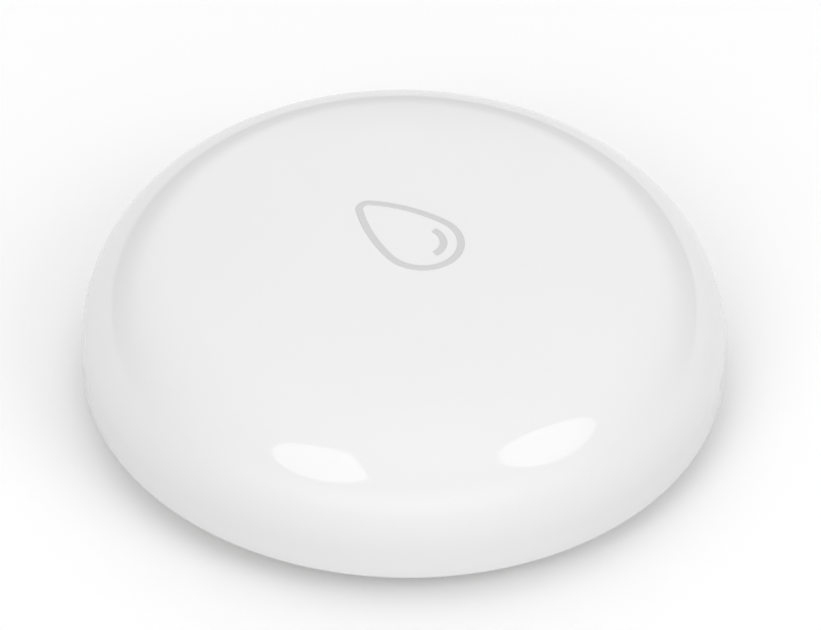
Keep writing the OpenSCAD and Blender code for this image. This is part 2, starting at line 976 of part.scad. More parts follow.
module battery_cover_seal() {
    color("dimgray")
        rotate_extrude()
            translate([ring_seal_r, ring_seal_z])
                circle(d = ring_seal_d);
}

top_cover();
drop_mark();
base_shell();
perimeter_seal();
probe_screw_left();
probe_screw_right();
probe_seals();
probe_posts();
circuit_board();
board_screws();
switch_housing();
switch_frame();
switch_terminals();
switch_dome();
switch_stem();
status_led();
radio_chip();
crystal();
reservoir_capacitor();
board_passives();
antenna_trace();
positive_clip();
negative_spring();
cell_can();
cell_gasket();
cell_cap();
battery_cover();
battery_cover_seal();
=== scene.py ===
"""Studio scene of a round water leak sensor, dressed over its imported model.

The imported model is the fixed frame. The cover, its printed drop, the small chip parts, the solder, the
board's print and the switch's sprung dome are made here as fine meshes. Every other piece keeps its solid
and gets soft edges and a finish. Lengths are in millimetres and become metres when a mesh is made, and
angles are in degrees. +Z is up and the drop's tip points to +Y.
"""

import logging
import math
from dataclasses import dataclass, field
from enum import Enum
from typing import Optional, Sequence, Union

import bmesh
import bpy
from mathutils import Matrix, Vector


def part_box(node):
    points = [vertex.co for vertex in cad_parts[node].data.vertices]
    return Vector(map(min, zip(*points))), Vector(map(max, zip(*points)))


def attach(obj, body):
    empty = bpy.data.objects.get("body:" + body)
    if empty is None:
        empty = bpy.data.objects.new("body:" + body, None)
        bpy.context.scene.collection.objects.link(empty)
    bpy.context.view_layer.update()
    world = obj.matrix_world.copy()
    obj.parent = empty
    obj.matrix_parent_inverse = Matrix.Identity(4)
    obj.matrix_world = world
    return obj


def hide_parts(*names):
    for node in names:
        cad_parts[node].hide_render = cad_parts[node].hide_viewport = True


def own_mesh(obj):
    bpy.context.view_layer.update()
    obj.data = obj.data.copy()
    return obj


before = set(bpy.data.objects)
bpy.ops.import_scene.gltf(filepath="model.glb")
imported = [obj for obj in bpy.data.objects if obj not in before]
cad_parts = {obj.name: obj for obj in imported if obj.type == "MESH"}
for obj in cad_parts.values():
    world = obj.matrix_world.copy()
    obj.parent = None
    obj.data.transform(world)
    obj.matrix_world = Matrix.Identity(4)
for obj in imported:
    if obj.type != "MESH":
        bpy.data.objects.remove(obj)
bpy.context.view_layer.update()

MM = 0.001
LOG = logging.getLogger("leak_sensor")

Flat = tuple[float, float]
Span = tuple[float, float]
Colour = tuple[float, float, float, float]


class Body(Enum):
    """The bodies that new pieces ride on."""

    BASE = "base"
    COVER = "cover"


class Slot(Enum):
    """Names of material slots for the new pieces; nothing in this script uses them."""

    COVER_WHITE = "cover_white"
    MARK_GREY = "mark_grey"
    CERAMIC_TAN = "ceramic_tan"
    TINNED_STEEL = "tinned_steel"
    NICKEL_STEEL = "nickel_steel"


def tone(red: int, green: int, blue: int) -> Colour:
    """Turns a colour as it shows on a screen into the linear colour that shaders use.

    Args:
        red: Red, from 0 to 255.
        green: Green, from 0 to 255.
        blue: Blue, from 0 to 255.

    Returns:
        The linear colour with full alpha.
    """
    shares = [level / 255 for level in (red, green, blue)]
    linear = [share / 12.92 if share <= 0.04045 else ((share + 0.055) / 1.055) ** 2.4 for share in shares]
    return (linear[0], linear[1], linear[2], 1.0)


def arc(centre: Flat, radius: float, start: float, end: float, steps: int) -> list[Flat]:
    """Lists the points of a flat arc from one angle to another, both ends included."""
    angles = [math.radians(start + (end - start) * step / steps) for step in range(steps + 1)]
    return [(centre[0] + radius * math.cos(a), centre[1] + radius * math.sin(a)) for a in angles]


def round_corners(low: Vector, high: Vector, reach: float, radius: float, steps: int) -> list[Flat]:
    """Lists the points of a flat rectangle with round corners.

    Args:
        low: Lower left corner.
        high: Upper right corner.
        reach: How far in from the sides the corners' middles lie.
        radius: Radius of the corners.
        steps: Steps of each corner.

    Returns:
        The points all the way round.
    """
    middles = (
        (high.x - reach, high.y - reach), (low.x + reach, high.y - reach),
        (low.x + reach, low.y + reach), (high.x - reach, low.y + reach),
    )
    points: list[Flat] = []
    for middle, start in zip(middles, (0, 90, 180, 270)):
        points += arc(middle, radius, start, start + 90, steps)
    return points


def spread(start: float, end: float, steps: int) -> list[float]:
    """Lists evenly spaced values, both ends included."""
    return [start + (end - start) * step / steps for step in range(steps + 1)]


def spun(angle: float) -> Matrix:
    """Gives a turn about the upright axis."""
    return Matrix.Rotation(math.radians(angle), 4, "Z")


def node_box(node: str) -> tuple[Vector, Vector]:
    """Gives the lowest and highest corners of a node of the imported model, in millimetres."""
    low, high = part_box(node)
    return low / MM, high / MM


class Sock:
    """A shader socket that takes part in plain arithmetic, one Math node for each step."""

    def __init__(self, tree: "ShaderTree", socket: Optional[bpy.types.NodeSocket]) -> None:
        """Keeps the tree and the socket, which a node at the end of a tree doesn't have."""
        self.tree = tree
        self.socket = socket

    def other(self, output: Union[str, int]) -> "Sock":
        """Gives another output of the same node."""
        return Sock(self.tree, self.socket.node.outputs[output])

    def maths(self, operation: str, *values: "Operand") -> "Sock":
        """Adds a Math node on these values."""
        return self.tree.node("ShaderNodeMath", {"operation": operation}, dict(enumerate(values)))

    def __add__(self, other: "Operand") -> "Sock":
        """Adds."""
        return self.maths("ADD", self, other)

    def __radd__(self, other: "Operand") -> "Sock":
        """Adds to a number."""
        return self.maths("ADD", other, self)

    def __sub__(self, other: "Operand") -> "Sock":
        """Subtracts."""
        return self.maths("SUBTRACT", self, other)

    def __rsub__(self, other: "Operand") -> "Sock":
        """Subtracts from a number."""
        return self.maths("SUBTRACT", other, self)

    def __mul__(self, other: "Operand") -> "Sock":
        """Multiplies."""
        return self.maths("MULTIPLY", self, other)

    def __rmul__(self, other: "Operand") -> "Sock":
        """Multiplies a number."""
        return self.maths("MULTIPLY", other, self)

    def __truediv__(self, other: "Operand") -> "Sock":
        """Divides."""
        return self.maths("DIVIDE", self, other)

    def __rtruediv__(self, other: "Operand") -> "Sock":
        """Divides a number."""
        return self.maths("DIVIDE", other, self)

    def __pow__(self, other: "Operand") -> "Sock":
        """Raises to a power."""
        return self.maths("POWER", self, other)

    def __rpow__(self, other: "Operand") -> "Sock":
        """Raises a number to this power."""
        return self.maths("POWER", other, self)

    def __abs__(self) -> "Sock":
        """Drops the sign."""
        return self.maths("ABSOLUTE", self)

    def sine(self) -> "Sock":
        """Takes the sine."""
        return self.maths("SINE", self)

    def at_least(self, low: "Operand") -> "Sock":
        """Takes the larger of this and another value."""
        return self.maths("MAXIMUM", self, low)

    def swing(self, share: float) -> "Sock":
        """Turns 0 to 1 into a swing to both sides of 0."""
        return (self - 0.5) * share

    def wave(self, per_mm: float) -> "Sock":
        """Goes up and down between 0 and 1, so many times in a millimetre."""
        return (self * (math.tau * per_mm)).sine() * 0.5 + 0.5

    def across(self, other: "Sock") -> "Sock":
        """Gives the diagonal over this length and another."""
        return (self * self + other * other) ** 0.5

    def step(self, low: float, high: float) -> "Sock":
        """Rises smoothly from 0 at the low value to 1 at the high one."""
        feeds = {"Value": self, "From Min": low, "From Max": high}
        return self.tree.node("ShaderNodeMapRange", {"interpolation_type": "SMOOTHSTEP"}, feeds)


Operand = Union[Sock, float, int]
Feed = Union[Sock, float, int, Sequence[float]]
Feeds = dict[Union[str, int], Feed]


class ShaderTree:
    """The nodes of one material or of the world."""

    def __init__(self, owner: Union[bpy.types.Material, bpy.types.World]) -> None:
        """Empties the owner's nodes.

        Args:
            owner: The material or the world.
        """
        owner.use_nodes = True
        self.tree = owner.node_tree
        self.tree.nodes.clear()

    def node(
        self,
        kind: str,
        settings: Optional[dict[str, object]] = None,
        feeds: Optional[Feeds] = None,
        output: Union[str, int] = 0,
    ) -> Sock:
        """Adds one node.

        Args:
            kind: Type of the node.
            settings: Properties of the node, such as a Math node's operation, set first.
            feeds: Value or link of each input socket.
            output: Output socket to go on with.

        Returns:
            The output socket.
        """
        made = self.tree.nodes.new(kind)
        for name, value in (settings or {}).items():
            setattr(made, name, value)
        for key, feed in (feeds or {}).items():
            if isinstance(feed, Sock):
                self.tree.links.new(feed.socket, made.inputs[key])
            else:
                made.inputs[key].default_value = feed
        return Sock(self, made.outputs[output] if made.outputs else None)

    def mix(self, factor: Operand, first: Feed, second: Feed) -> Sock:
        """Mixes two colours, where the factor is the share of the second."""
        return self.node("ShaderNodeMix", {"data_type": "RGBA"}, {0: factor, 6: first, 7: second}, 2)

    def place(self) -> Sock:
        """Gives the place on the object in millimetres."""
        where = self.node("ShaderNodeTexCoord", output="Object")
        return self.node("ShaderNodeVectorMath", {"operation": "SCALE"}, {0: where, "Scale": 1 / MM})

    def stretched(self, place: Sock, factors: Sequence[float]) -> Sock:
        """Stretches a place along its axes."""
        return self.node("ShaderNodeVectorMath", {"operation": "MULTIPLY"}, {0: place, 1: factors})

    def axes(self, vector: Sock) -> tuple[Sock, Sock, Sock]:
        """Splits a vector into its three parts."""
        first = self.node("ShaderNodeSeparateXYZ", feeds={0: vector})
        return first, first.other(1), first.other(2)

    def facing(self) -> tuple[Sock, Sock, Sock]:
        """Gives the parts of the surface's normal on the object."""
        return self.axes(self.node("ShaderNodeTexCoord", output="Normal"))

    def noise(self, place: Sock, per_mm: float, detail: float = 2.0, roughness: float = 0.5) -> Sock:
        """Gives soft noise from 0 to 1, with so many waves in a millimetre and octaves of finer ones."""
        feeds = {"Vector": place, "Scale": per_mm, "Detail": detail, "Roughness": roughness}
        return self.node("ShaderNodeTexNoise", feeds=feeds)

    def cells(self, place: Sock, per_mm: float) -> Sock:
        """Gives the distance to the nearest of many scattered points, in cell widths."""
        return self.node("ShaderNodeTexVoronoi", feeds={"Vector": place, "Scale": per_mm})

    def bump(self, height: Sock, depth: float, under: Optional[Sock] = None) -> Sock:
        """Turns a height into a bent normal.

        Args:
            height: Height from 0 to 1.
            depth: What a height of 1 stands for, in millimetres.
            under: A normal that is bent already.

        Returns:
            The normal.
        """
        feeds: Feeds = {"Height": height, "Distance": depth * MM}
        if under is not None:
            feeds["Normal"] = under
        return self.node("ShaderNodeBump", feeds=feeds)

    def surface(self, feeds: Feeds) -> None:
        """Ends the tree in a Principled surface."""
        shader = self.node("ShaderNodeBsdfPrincipled", feeds=feeds)
        self.node("ShaderNodeOutputMaterial", feeds={"Surface": shader})


@dataclass(frozen=True)
class Finish:
    """A surface finish: its colour, its gloss and the fine marks of how it was made."""

    name: str
    colour: Colour
    roughness: float

    def paint(self, tree: ShaderTree) -> Feeds:
        """Gives the value or link of each of the shader's sockets."""
        raise NotImplementedError

    def material(self) -> bpy.types.Material:
        """Makes the material, once.

        Returns:
            The material.
        """
        made = bpy.data.materials.get(self.name)
        if made is None:
            made = bpy.data.materials.new(self.name)
            tree = ShaderTree(made)
            tree.surface(self.paint(tree))
        return made

    def shade(self, share: float) -> Colour:
        """Gives the colour, lighter or darker by a share."""
        red, green, blue, alpha = self.colour
        return (min(1.0, red * share), min(1.0, green * share), min(1.0, blue * share), alpha)

    def tint(self, tree: ShaderTree, share: Sock, shades: Span) -> Sock:
        """Goes from one shade of the colour to another."""
        return tree.mix(share, self.shade(shades[0]), self.shade(shades[1]))


@dataclass(frozen=True)
class PolishedMoulding(Finish):
    """Moulded plastic from a polished tool: glossy, with a faint orange peel and a few hairline rubs."""

    ior: float = 1.5
    shades: Span = (0.985, 1.01)
    cloud_per_mm: float = 0.06
    peel_per_mm: float = 0.35
    peel_depth: float = 0.0006
    rub_per_mm: float = 0.9
    rub_along: Sequence[float] = (1.0, 9.0, 1.0)
    rub_gloss: float = 0.02

    def paint(self, tree: ShaderTree) -> Feeds:
        """Paints the clouded colour, the rubs in the gloss and the orange peel.

        Args:
            tree: The material's nodes.

        Returns:
            Value or link of the shader's sockets.
        """
        place = tree.place()
        cloud = tree.noise(place, self.cloud_per_mm, detail=3.0)
        rubs = tree.noise(tree.stretched(place, self.rub_along), self.rub_per_mm, detail=4.0, roughness=0.7)
        peel = tree.noise(place, self.peel_per_mm, detail=1.0)
        return {
            "Base Color": self.tint(tree, cloud, self.shades),
            "Roughness": self.roughness + rubs.swing(self.rub_gloss),
            "IOR": self.ior,
            "Normal": tree.bump(peel, self.peel_depth),
        }


@dataclass(frozen=True)
class EtchedMoulding(Finish):
    """Plastic from a spark-eroded tool: a fine even grain, and ejector-pin marks where a ring is given."""

    ior: float = 1.49
    shades: Span = (0.97, 1.02)
    cloud_per_mm: float = 0.12
    cloud_gloss: float = 0.08
    grain_per_mm: float = 5.0
    grain_depth: float = 0.008
    grain_gloss: float = 0.18
    pin_ring: float = 0.0
    pin_turn: float = 0.0
    pin_count: int = 3
    pin_r: float = 1.0
    pin_line: float = 0.07
    pin_depth: float = 0.03

    def paint(self, tree: ShaderTree) -> Feeds:
        """Paints the clouded colour, the even grain and the ejector-pin marks.

        Args:
            tree: The material's nodes.

        Returns:
            Value or link of the shader's sockets.
        """
        place = tree.place()
        grain = tree.noise(place, self.grain_per_mm, detail=3.0, roughness=0.6)
        cloud = tree.noise(place, self.cloud_per_mm, detail=3.0)
        normal = tree.bump(grain, self.grain_depth)
        if self.pin_ring > 0:
            normal = tree.bump(self._pins(tree, place), self.pin_depth, normal)
        return {
            "Base Color": self.tint(tree, cloud, self.shades),
            "Roughness": self.roughness + grain.swing(self.grain_gloss) + cloud.swing(self.cloud_gloss),
            "IOR": self.ior,
            "Normal": normal,
        }

    def _pins(self, tree: ShaderTree, place: Sock) -> Sock:
        """Gives the height of the ejector-pin marks, spaced round the axis.

        Args:
            tree: The material's nodes.
            place: Place in millimetres.

        Returns:
            A height that dips at the rim of each mark.
        """
        east, north, _ = tree.axes(place)
        height: Optional[Sock] = None
        for number in range(self.pin_count):
            turn = math.radians(self.pin_turn + 360 / self.pin_count * number)
            off_x = east - self.pin_ring * math.cos(turn)
            off_y = north - self.pin_ring * math.sin(turn)
            rim = abs(off_x.across(off_y) - self.pin_r).step(0.0, self.pin_line)
            height = rim if height is None else height * rim
        return height


@dataclass(frozen=True)
class PadPrint(Finish):
    """Pad-printed ink: even, a little satin, with pinholes too small to see from a step away."""

    ior: float = 1.5
    shades: Span = (0.985, 1.015)
    grain_per_mm: float = 9.0
    grain_depth: float = 0.0006
    grain_gloss: float = 0.1
    holes_per_mm: float = 3.0
    hole_edge: Span = (0.04, 0.1)
    hole_shade: float = 1.06

    def paint(self, tree: ShaderTree) -> Feeds:
        """Paints the ink with its grain and its pinholes.

        Args:
            tree: The material's nodes.

        Returns:
            Value or link of the shader's sockets.
        """
        place = tree.place()
        grain = tree.noise(place, self.grain_per_mm)
        covered = tree.cells(place, self.holes_per_mm).step(*self.hole_edge)
        ink = self.tint(tree, grain, self.shades)
        return {
            "Base Color": tree.mix(covered, self.shade(self.hole_shade), ink),
            "Roughness": self.roughness + grain.swing(self.grain_gloss),
            "IOR": self.ior,
            "Normal": tree.bump(grain, self.grain_depth),
        }


@dataclass(frozen=True)
class Rubber(Finish):
    """Moulded silicone: matt and slightly waxy, with specks of dust and a parting line round its middle."""

    ior: float = 1.41
    shades: Span = (0.9, 1.12)
    cloud_per_mm: float = 0.8
    cloud_gloss: float = 0.2
    cloud_height: float = 0.2
    dust: Colour = tone(170, 168, 164)
    dust_per_mm: float = 1.4
    dust_edge: Span = (0.03, 0.09)
    dust_share: float = 0.35
    parting_z: float = 0.0
    line_edge: Span = (0.01, 0.05)
    line_depth: float = 0.03

    def paint(self, tree: ShaderTree) -> Feeds:
        """Paints the clouded silicone with its dust and its parting line.

        Args:
            tree: The material's nodes.

        Returns:
            Value or link of the shader's sockets.
        """
        place = tree.place()
        cloud = tree.noise(place, self.cloud_per_mm, detail=4.0)
        specks = 1 - tree.cells(place, self.dust_per_mm).step(*self.dust_edge)
        _, _, up = tree.axes(place)
        line = 1 - abs(up - self.parting_z).step(*self.line_edge)
        clean = self.tint(tree, cloud, self.shades)
        return {
            "Base Color": tree.mix(specks * self.dust_share, clean, self.dust),
            "Roughness": self.roughness + cloud.swing(self.cloud_gloss),
            "IOR": self.ior,
            "Normal": tree.bump(line + cloud * self.cloud_height, self.line_depth),
        }


@dataclass(frozen=True)
class TurnedMetal(Finish):
    """Metal from a lathe: rings round upright axes that cross the X axis at plus and minus a distance."""

    axis_x: float = 0.0
    rings_per_mm: float = 9.0
    ring_depth: float = 0.004
    ring_gloss: float = 0.1
    wander_per_mm: float = 0.7
    wander: float = 0.05
    cloud_per_mm: float = 1.6
    cloud_gloss: float = 0.16
    cloud_height: float = 0.4
    stain: Colour = (0.3, 0.26, 0.2, 1.0)
    stain_edge: Span = (0.45, 0.8)
    stain_share: float = 0.15

    def paint(self, tree: ShaderTree) -> Feeds:
        """Paints the metal with its lathe rings and its stains.

        Args:
            tree: The material's nodes.

        Returns:
            Value or link of the shader's sockets.
        """
        place = tree.place()
        east, north, up = tree.axes(place)
        away = (abs(east) - self.axis_x).across(north)
        waver = tree.noise(place, self.wander_per_mm, detail=3.0) * self.wander
        rings = (away + up + waver).wave(self.rings_per_mm)
        cloud = tree.noise(place, self.cloud_per_mm, detail=4.0, roughness=0.6)
        height = rings * (1 - self.cloud_height) + cloud * self.cloud_height
        return {
            "Base Color": tree.mix(cloud.step(*self.stain_edge) * self.stain_share, self.colour, self.stain),
            "Metallic": 1.0,
            "Roughness": self.roughness + rings.swing(self.ring_gloss) + cloud.swing(self.cloud_gloss),
            "Normal": tree.bump(height, self.ring_depth),
        }


@dataclass(frozen=True)
class RolledMetal(Finish):
    """Plated sheet metal: fine lines along the rolling direction and a faint bloom in the plating."""

    along: Sequence[float] = (0.4, 8.0, 8.0)
    lines_per_mm: float = 2.2
    line_depth: float = 0.002
    line_gloss: float = 0.22
    cloud_per_mm: float = 0.9
    cloud_gloss: float = 0.1
    bloom: Colour = (0.42, 0.4, 0.36, 1.0)
    bloom_edge: Span = (0.5, 0.85)
    bloom_share: float = 0.3

    def paint(self, tree: ShaderTree) -> Feeds:
        """Paints the metal with its rolling lines and its bloom.

        Args:
            tree: The material's nodes.

        Returns:
            Value or link of the shader's sockets.
        """
        place = tree.place()
        lines = tree.noise(tree.stretched(place, self.along), self.lines_per_mm, detail=4.0, roughness=0.65)
        cloud = tree.noise(place, self.cloud_per_mm, detail=3.0)
        return {
            "Base Color": tree.mix(cloud.step(*self.bloom_edge) * self.bloom_share, self.colour, self.bloom),
            "Metallic": 1.0,
            "Roughness": self.roughness + lines.swing(self.line_gloss) + cloud.swing(self.cloud_gloss),
            "Normal": tree.bump(lines, self.line_depth),
        }


@dataclass(frozen=True)
class SolderMask(Finish):
    """A printed circuit board: green mask over copper lanes and vias, with the glass laminate at its edge."""

    ior: float = 1.5
    shades: Span = (0.8, 1.35)
    laminate: Colour = tone(176, 160, 112)
    layer: Colour = tone(120, 108, 70)
    layers_per_mm: float = 9.0
    layer_share: float = 0.35
    edge_rise: Span = (0.3, 0.7)
    edge_gloss: float = 0.4
    level: Sequence[float] = (1.0, 1.0, 0.0)
    region_per_mm: float = 0.16
    region_edge: Span = (0.495, 0.505)
    lane_pitch: float = 1.3
    lane_w: float = 0.26
    lane_soft: float = 1.25
    lane_depth: float = 0.03
    vias_per_mm: float = 0.42
    via_edge: Span = (0.1, 0.13)
    clear_y: float = -13.2
    clear_soft: float = 0.05
    speck_per_mm: float = 4.0
    speck_gloss: float = 0.12
    speck_height: float = 0.15

    def paint(self, tree: ShaderTree) -> Feeds:
        """Paints the mask with its raised lanes and vias, and the layers at the edge.

        Args:
            tree: The material's nodes.

        Returns:
            Value or link of the shader's sockets.
        """
        place = tree.place()
        flat = tree.stretched(place, self.level)
        east, north, up = tree.axes(place)
        _, _, rise = tree.facing()
        edge = 1 - abs(rise).step(*self.edge_rise)
        split = tree.noise(flat, self.region_per_mm, detail=1.0).step(*self.region_edge)
        lanes = self._lanes(east) * split + self._lanes(north) * (1 - split)
        vias = 1 - tree.cells(flat, self.vias_per_mm).step(*self.via_edge)
        clear = north.step(self.clear_y - self.clear_soft, self.clear_y + self.clear_soft)
        raised = lanes.at_least(vias) * clear
        mask = self.tint(tree, raised, self.shades)
        rim = tree.mix(up.wave(self.layers_per_mm) * self.layer_share, self.laminate, self.layer)
        speck = tree.noise(place, self.speck_per_mm, detail=3.0)
        return {
            "Base Color": tree.mix(edge, mask, rim),
            "Roughness": self.roughness + edge * self.edge_gloss + speck.swing(self.speck_gloss),
            "IOR": self.ior,
            "Normal": tree.bump(raised + speck * self.speck_height, self.lane_depth),
        }

    def _lanes(self, across: Sock) -> Sock:
        """Gives parallel copper lanes across one direction.

        Args:
            across: Distance across the lanes, in millimetres.

        Returns:
            1 on a lane and 0 between lanes.
        """
        wave = (across * (math.pi / self.lane_pitch)).sine()
        reach = math.sin(math.pi * self.lane_w / 2 / self.lane_pitch)
        return 1 - abs(wave).step(reach, reach * self.lane_soft)


@dataclass(frozen=True)
class MouldedEpoxy(Finish):
    """Filled moulding compound: dark and matt, with glittering filler grains."""

    ior: float = 1.52
    shades: Span = (0.8, 1.25)
    grain_per_mm: float = 8.0
    grain_depth: float = 0.006
    grain_gloss: float = 0.2
    filler_per_mm: float = 6.0
    filler_edge: Span = (0.05, 0.12)
    filler_share: float = 0.4
    filler_shade: float = 3.0

    def paint(self, tree: ShaderTree) -> Feeds:
        """Paints the compound with its grain and its filler.

        Args:
            tree: The material's nodes.

        Returns:
            Value or link of the shader's sockets.
        """
        place = tree.place()
        grain = tree.noise(place, self.grain_per_mm, detail=3.0, roughness=0.6)
        filler = 1 - tree.cells(place, self.filler_per_mm).step(*self.filler_edge)
        plain = self.tint(tree, grain, self.shades)
        return {
            "Base Color": tree.mix(filler * self.filler_share, plain, self.shade(self.filler_shade)),
            "Roughness": self.roughness + grain.swing(self.grain_gloss),
            "IOR": self.ior,
            "Normal": tree.bump(grain, self.grain_depth),
        }


@dataclass(frozen=True)
class FiredCeramic(Finish):
    """Fired ceramic of the small chip parts: chalky, with faint specks and two batches of colour."""

    ior: float = 1.6
    shades: Span = (0.78, 0.95)
    batch_per_mm: float = 0.11
    batch_edge: Span = (0.45, 0.55)
    speck_per_mm: float = 7.0
    speck_depth: float = 0.004
    speck_gloss: float = 0.25
    speck_shade: float = 1.15

    def paint(self, tree: ShaderTree) -> Feeds:
        """Paints the ceramic of both batches with its specks.

        Args:
            tree: The material's nodes.

        Returns:
            Value or link of the shader's sockets.
        """
        place = tree.place()
        speck = tree.noise(place, self.speck_per_mm, detail=3.0, roughness=0.6)
        batch = tree.noise(place, self.batch_per_mm, detail=0.0).step(*self.batch_edge)
        plain = self.tint(tree, batch, self.shades)
        return {
            "Base Color": tree.mix(speck, plain, self.shade(self.speck_shade)),
            "Roughness": self.roughness + speck.swing(self.speck_gloss),
            "IOR": self.ior,
            "Normal": tree.bump(speck, self.speck_depth),
        }


@dataclass(frozen=True)
class CastResin(Finish):
    """Clear cast resin over a phosphor: glossy, paler away from its middle."""

    ior: float = 1.53
    middle: Flat = (0.0, 0.0)
    reach: float = 1.0
    core_share: float = 0.2
    rim: Colour = tone(232, 226, 200)
    speck_per_mm: float = 6.0
    speck_depth: float = 0.002
    speck_gloss: float = 0.1
    speck_share: float = 0.3

    def paint(self, tree: ShaderTree) -> Feeds:
        """Paints the phosphor in the middle, the paler rim and the specks.

        Args:
            tree: The material's nodes.

        Returns:
            Value or link of the shader's sockets.
        """
        place = tree.place()
        east, north, _ = tree.axes(place)
        away = (east - self.middle[0]).across(north - self.middle[1])
        speck = tree.noise(place, self.speck_per_mm)
        core = 1 - away.step(self.core_share * self.reach, self.reach)
        return {
            "Base Color": tree.mix(core + speck.swing(self.speck_share), self.rim, self.colour),
            "Roughness": self.roughness + speck.swing(self.speck_gloss),
            "IOR": self.ior,
            "Normal": tree.bump(speck, self.speck_depth),
        }


@dataclass(frozen=True)
class BandedCase(Finish):
    """The case of a reservoir capacitor: moulded, with a dark band at one end and tinned tabs at both."""

    ior: float = 1.52
    shades: Span = (0.9, 1.08)
    grain_per_mm: float = 5.0
    grain_depth: float = 0.006
    grain_gloss: float = 0.2
    middle_x: float = 0.0
    case_l: float = 3.5
    band_w: float = 0.65
    band_shade: float = 0.4
    soft: float = 0.02
    tin: Colour = tone(212, 212, 210)

    def paint(self, tree: ShaderTree) -> Feeds:
        """Paints the case, its band and its tabs.

        Args:
            tree: The material's nodes.

        Returns:
            Value or link of the shader's sockets.
        """
        place = tree.place()
        east, _, _ = tree.axes(place)
        out = east - self.middle_x
        grain = tree.noise(place, self.grain_per_mm, detail=3.0, roughness=0.6)
        case_x = self.case_l / 2
        band_x = case_x - self.band_w
        band = out.step(band_x - self.soft, band_x + self.soft)
        tabs = abs(out).step(case_x + self.soft / 2, case_x + self.soft)
        case = tree.mix(band, self.tint(tree, grain, self.shades), self.shade(self.band_shade))
        return {
            "Base Color": tree.mix(tabs, case, self.tin),
            "Metallic": tabs,
            "Roughness": self.roughness + grain.swing(self.grain_gloss),
            "IOR": self.ior,
            "Normal": tree.bump(grain, self.grain_depth),
        }


class Shape:
    """Vertices and faces of one piece, gathered in millimetres."""

    def __init__(self) -> None:
        """Starts empty."""
        self.points: list[Vector] = []
        self.faces: list[list[int]] = []
        self.marks: list[int] = []

    def add(self, points: Sequence[Vector], faces: Sequence[Sequence[int]], mark: int = 0) -> None:
        """Adds points and the faces between them.

        Args:
            points: The points.
            faces: Faces that count from the first of these points.
            mark: Material slot of the faces.
        """
        first = len(self.points)
        self.points.extend(points)
        self.faces.extend([first + corner for corner in face] for face in faces)
        self.marks.extend([mark] * len(faces))

    def loft(self, rings: Sequence[Sequence[Vector]], around: bool = False, mark: int = 0) -> None:
        """Adds a closed skin over closed rings of points.

        Args:
            rings: Rings with equal numbers of points.
            around: Whether the last ring joins the first. If not, a face closes each end.
            mark: Material slot of the faces.
        """
        count = len(rings[0])
        faces = []
        for lower in range(len(rings) if around else len(rings) - 1):
            upper = (lower + 1) % len(rings)
            for corner in range(count):
                beside = (corner + 1) % count
                faces.append([lower * count + corner, lower * count + beside,
                              upper * count + beside, upper * count + corner])
        if not around:
            faces.append(list(range(count - 1, -1, -1)))
            faces.append([(len(rings) - 1) * count + corner for corner in range(count)])
        self.add([point for ring in rings for point in ring], faces, mark)

    def turn(self, outline: Sequence[Flat], steps: int, centre: Flat = (0.0, 0.0)) -> None:
        """Adds a body of revolution about an upright axis.

        Args:
            outline: Half section as radius and height. It starts and ends on the axis, or else it is a loop.
            steps: Number of facets round the axis.
            centre: Place of the axis.
        """
        loop = outline[0][0] > 0
        wheel = [math.tau * step / steps for step in range(steps)]
        points: list[Vector] = []
        rows: list[list[int]] = []
        for radius, height in outline:
            angles = wheel if radius > 0 else [0.0]
            rows.append(list(range(len(points), len(points) + len(angles))))
            for angle in angles:
                east = centre[0] + radius * math.cos(angle)
                north = centre[1] + radius * math.sin(angle)
                points.append(Vector((east, north, height)))
        faces = []
        for number in range(len(rows) if loop else len(rows) - 1):
            low, high = rows[number], rows[(number + 1) % len(rows)]
            for step in range(steps):
                beside = (step + 1) % steps
                corners = [low[step % len(low)], low[beside % len(low)],
                           high[beside % len(high)], high[step % len(high)]]
                faces.append(list(dict.fromkeys(corners)))
        self.add(points, faces)

    def piece(
        self,
        name: str,
        body: Body,
        finishes: Sequence[Finish],
        replaces: Sequence[str] = (),
        sharp: float = 38.0,
    ) -> bpy.types.Object:
        """Makes the object, dresses it and lets it ride on its body.

        Args:
            name: Name of the piece.
            body: Body that it rides on.
            finishes: Finishes, in the order of the marks.
            replaces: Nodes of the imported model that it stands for.
            sharp: Angle over which an edge stays sharp, in degrees.

        Returns:
            The object.
        """
        mesh = bpy.data.meshes.new(name)
        mesh.from_pydata([point * MM for point in self.points], [], self.faces)
        mesh.polygons.foreach_set("material_index", self.marks)
        work = bmesh.new()
        work.from_mesh(mesh)
        bmesh.ops.recalc_face_normals(work, faces=work.faces)
        work.to_mesh(mesh)
        work.free()
        mesh.polygons.foreach_set("use_smooth", [True] * len(mesh.polygons))
        mesh.set_sharp_from_angle(angle=math.radians(sharp))
        for finish in finishes:
            mesh.materials.append(finish.material())
        made = bpy.data.objects.new(name, mesh)
        bpy.context.scene.collection.objects.link(made)
        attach(made, body.value)
        if replaces:
            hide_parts(*replaces)
        LOG.info("%s: %d faces, rides on %s", name, len(mesh.polygons), body.value)
        return made


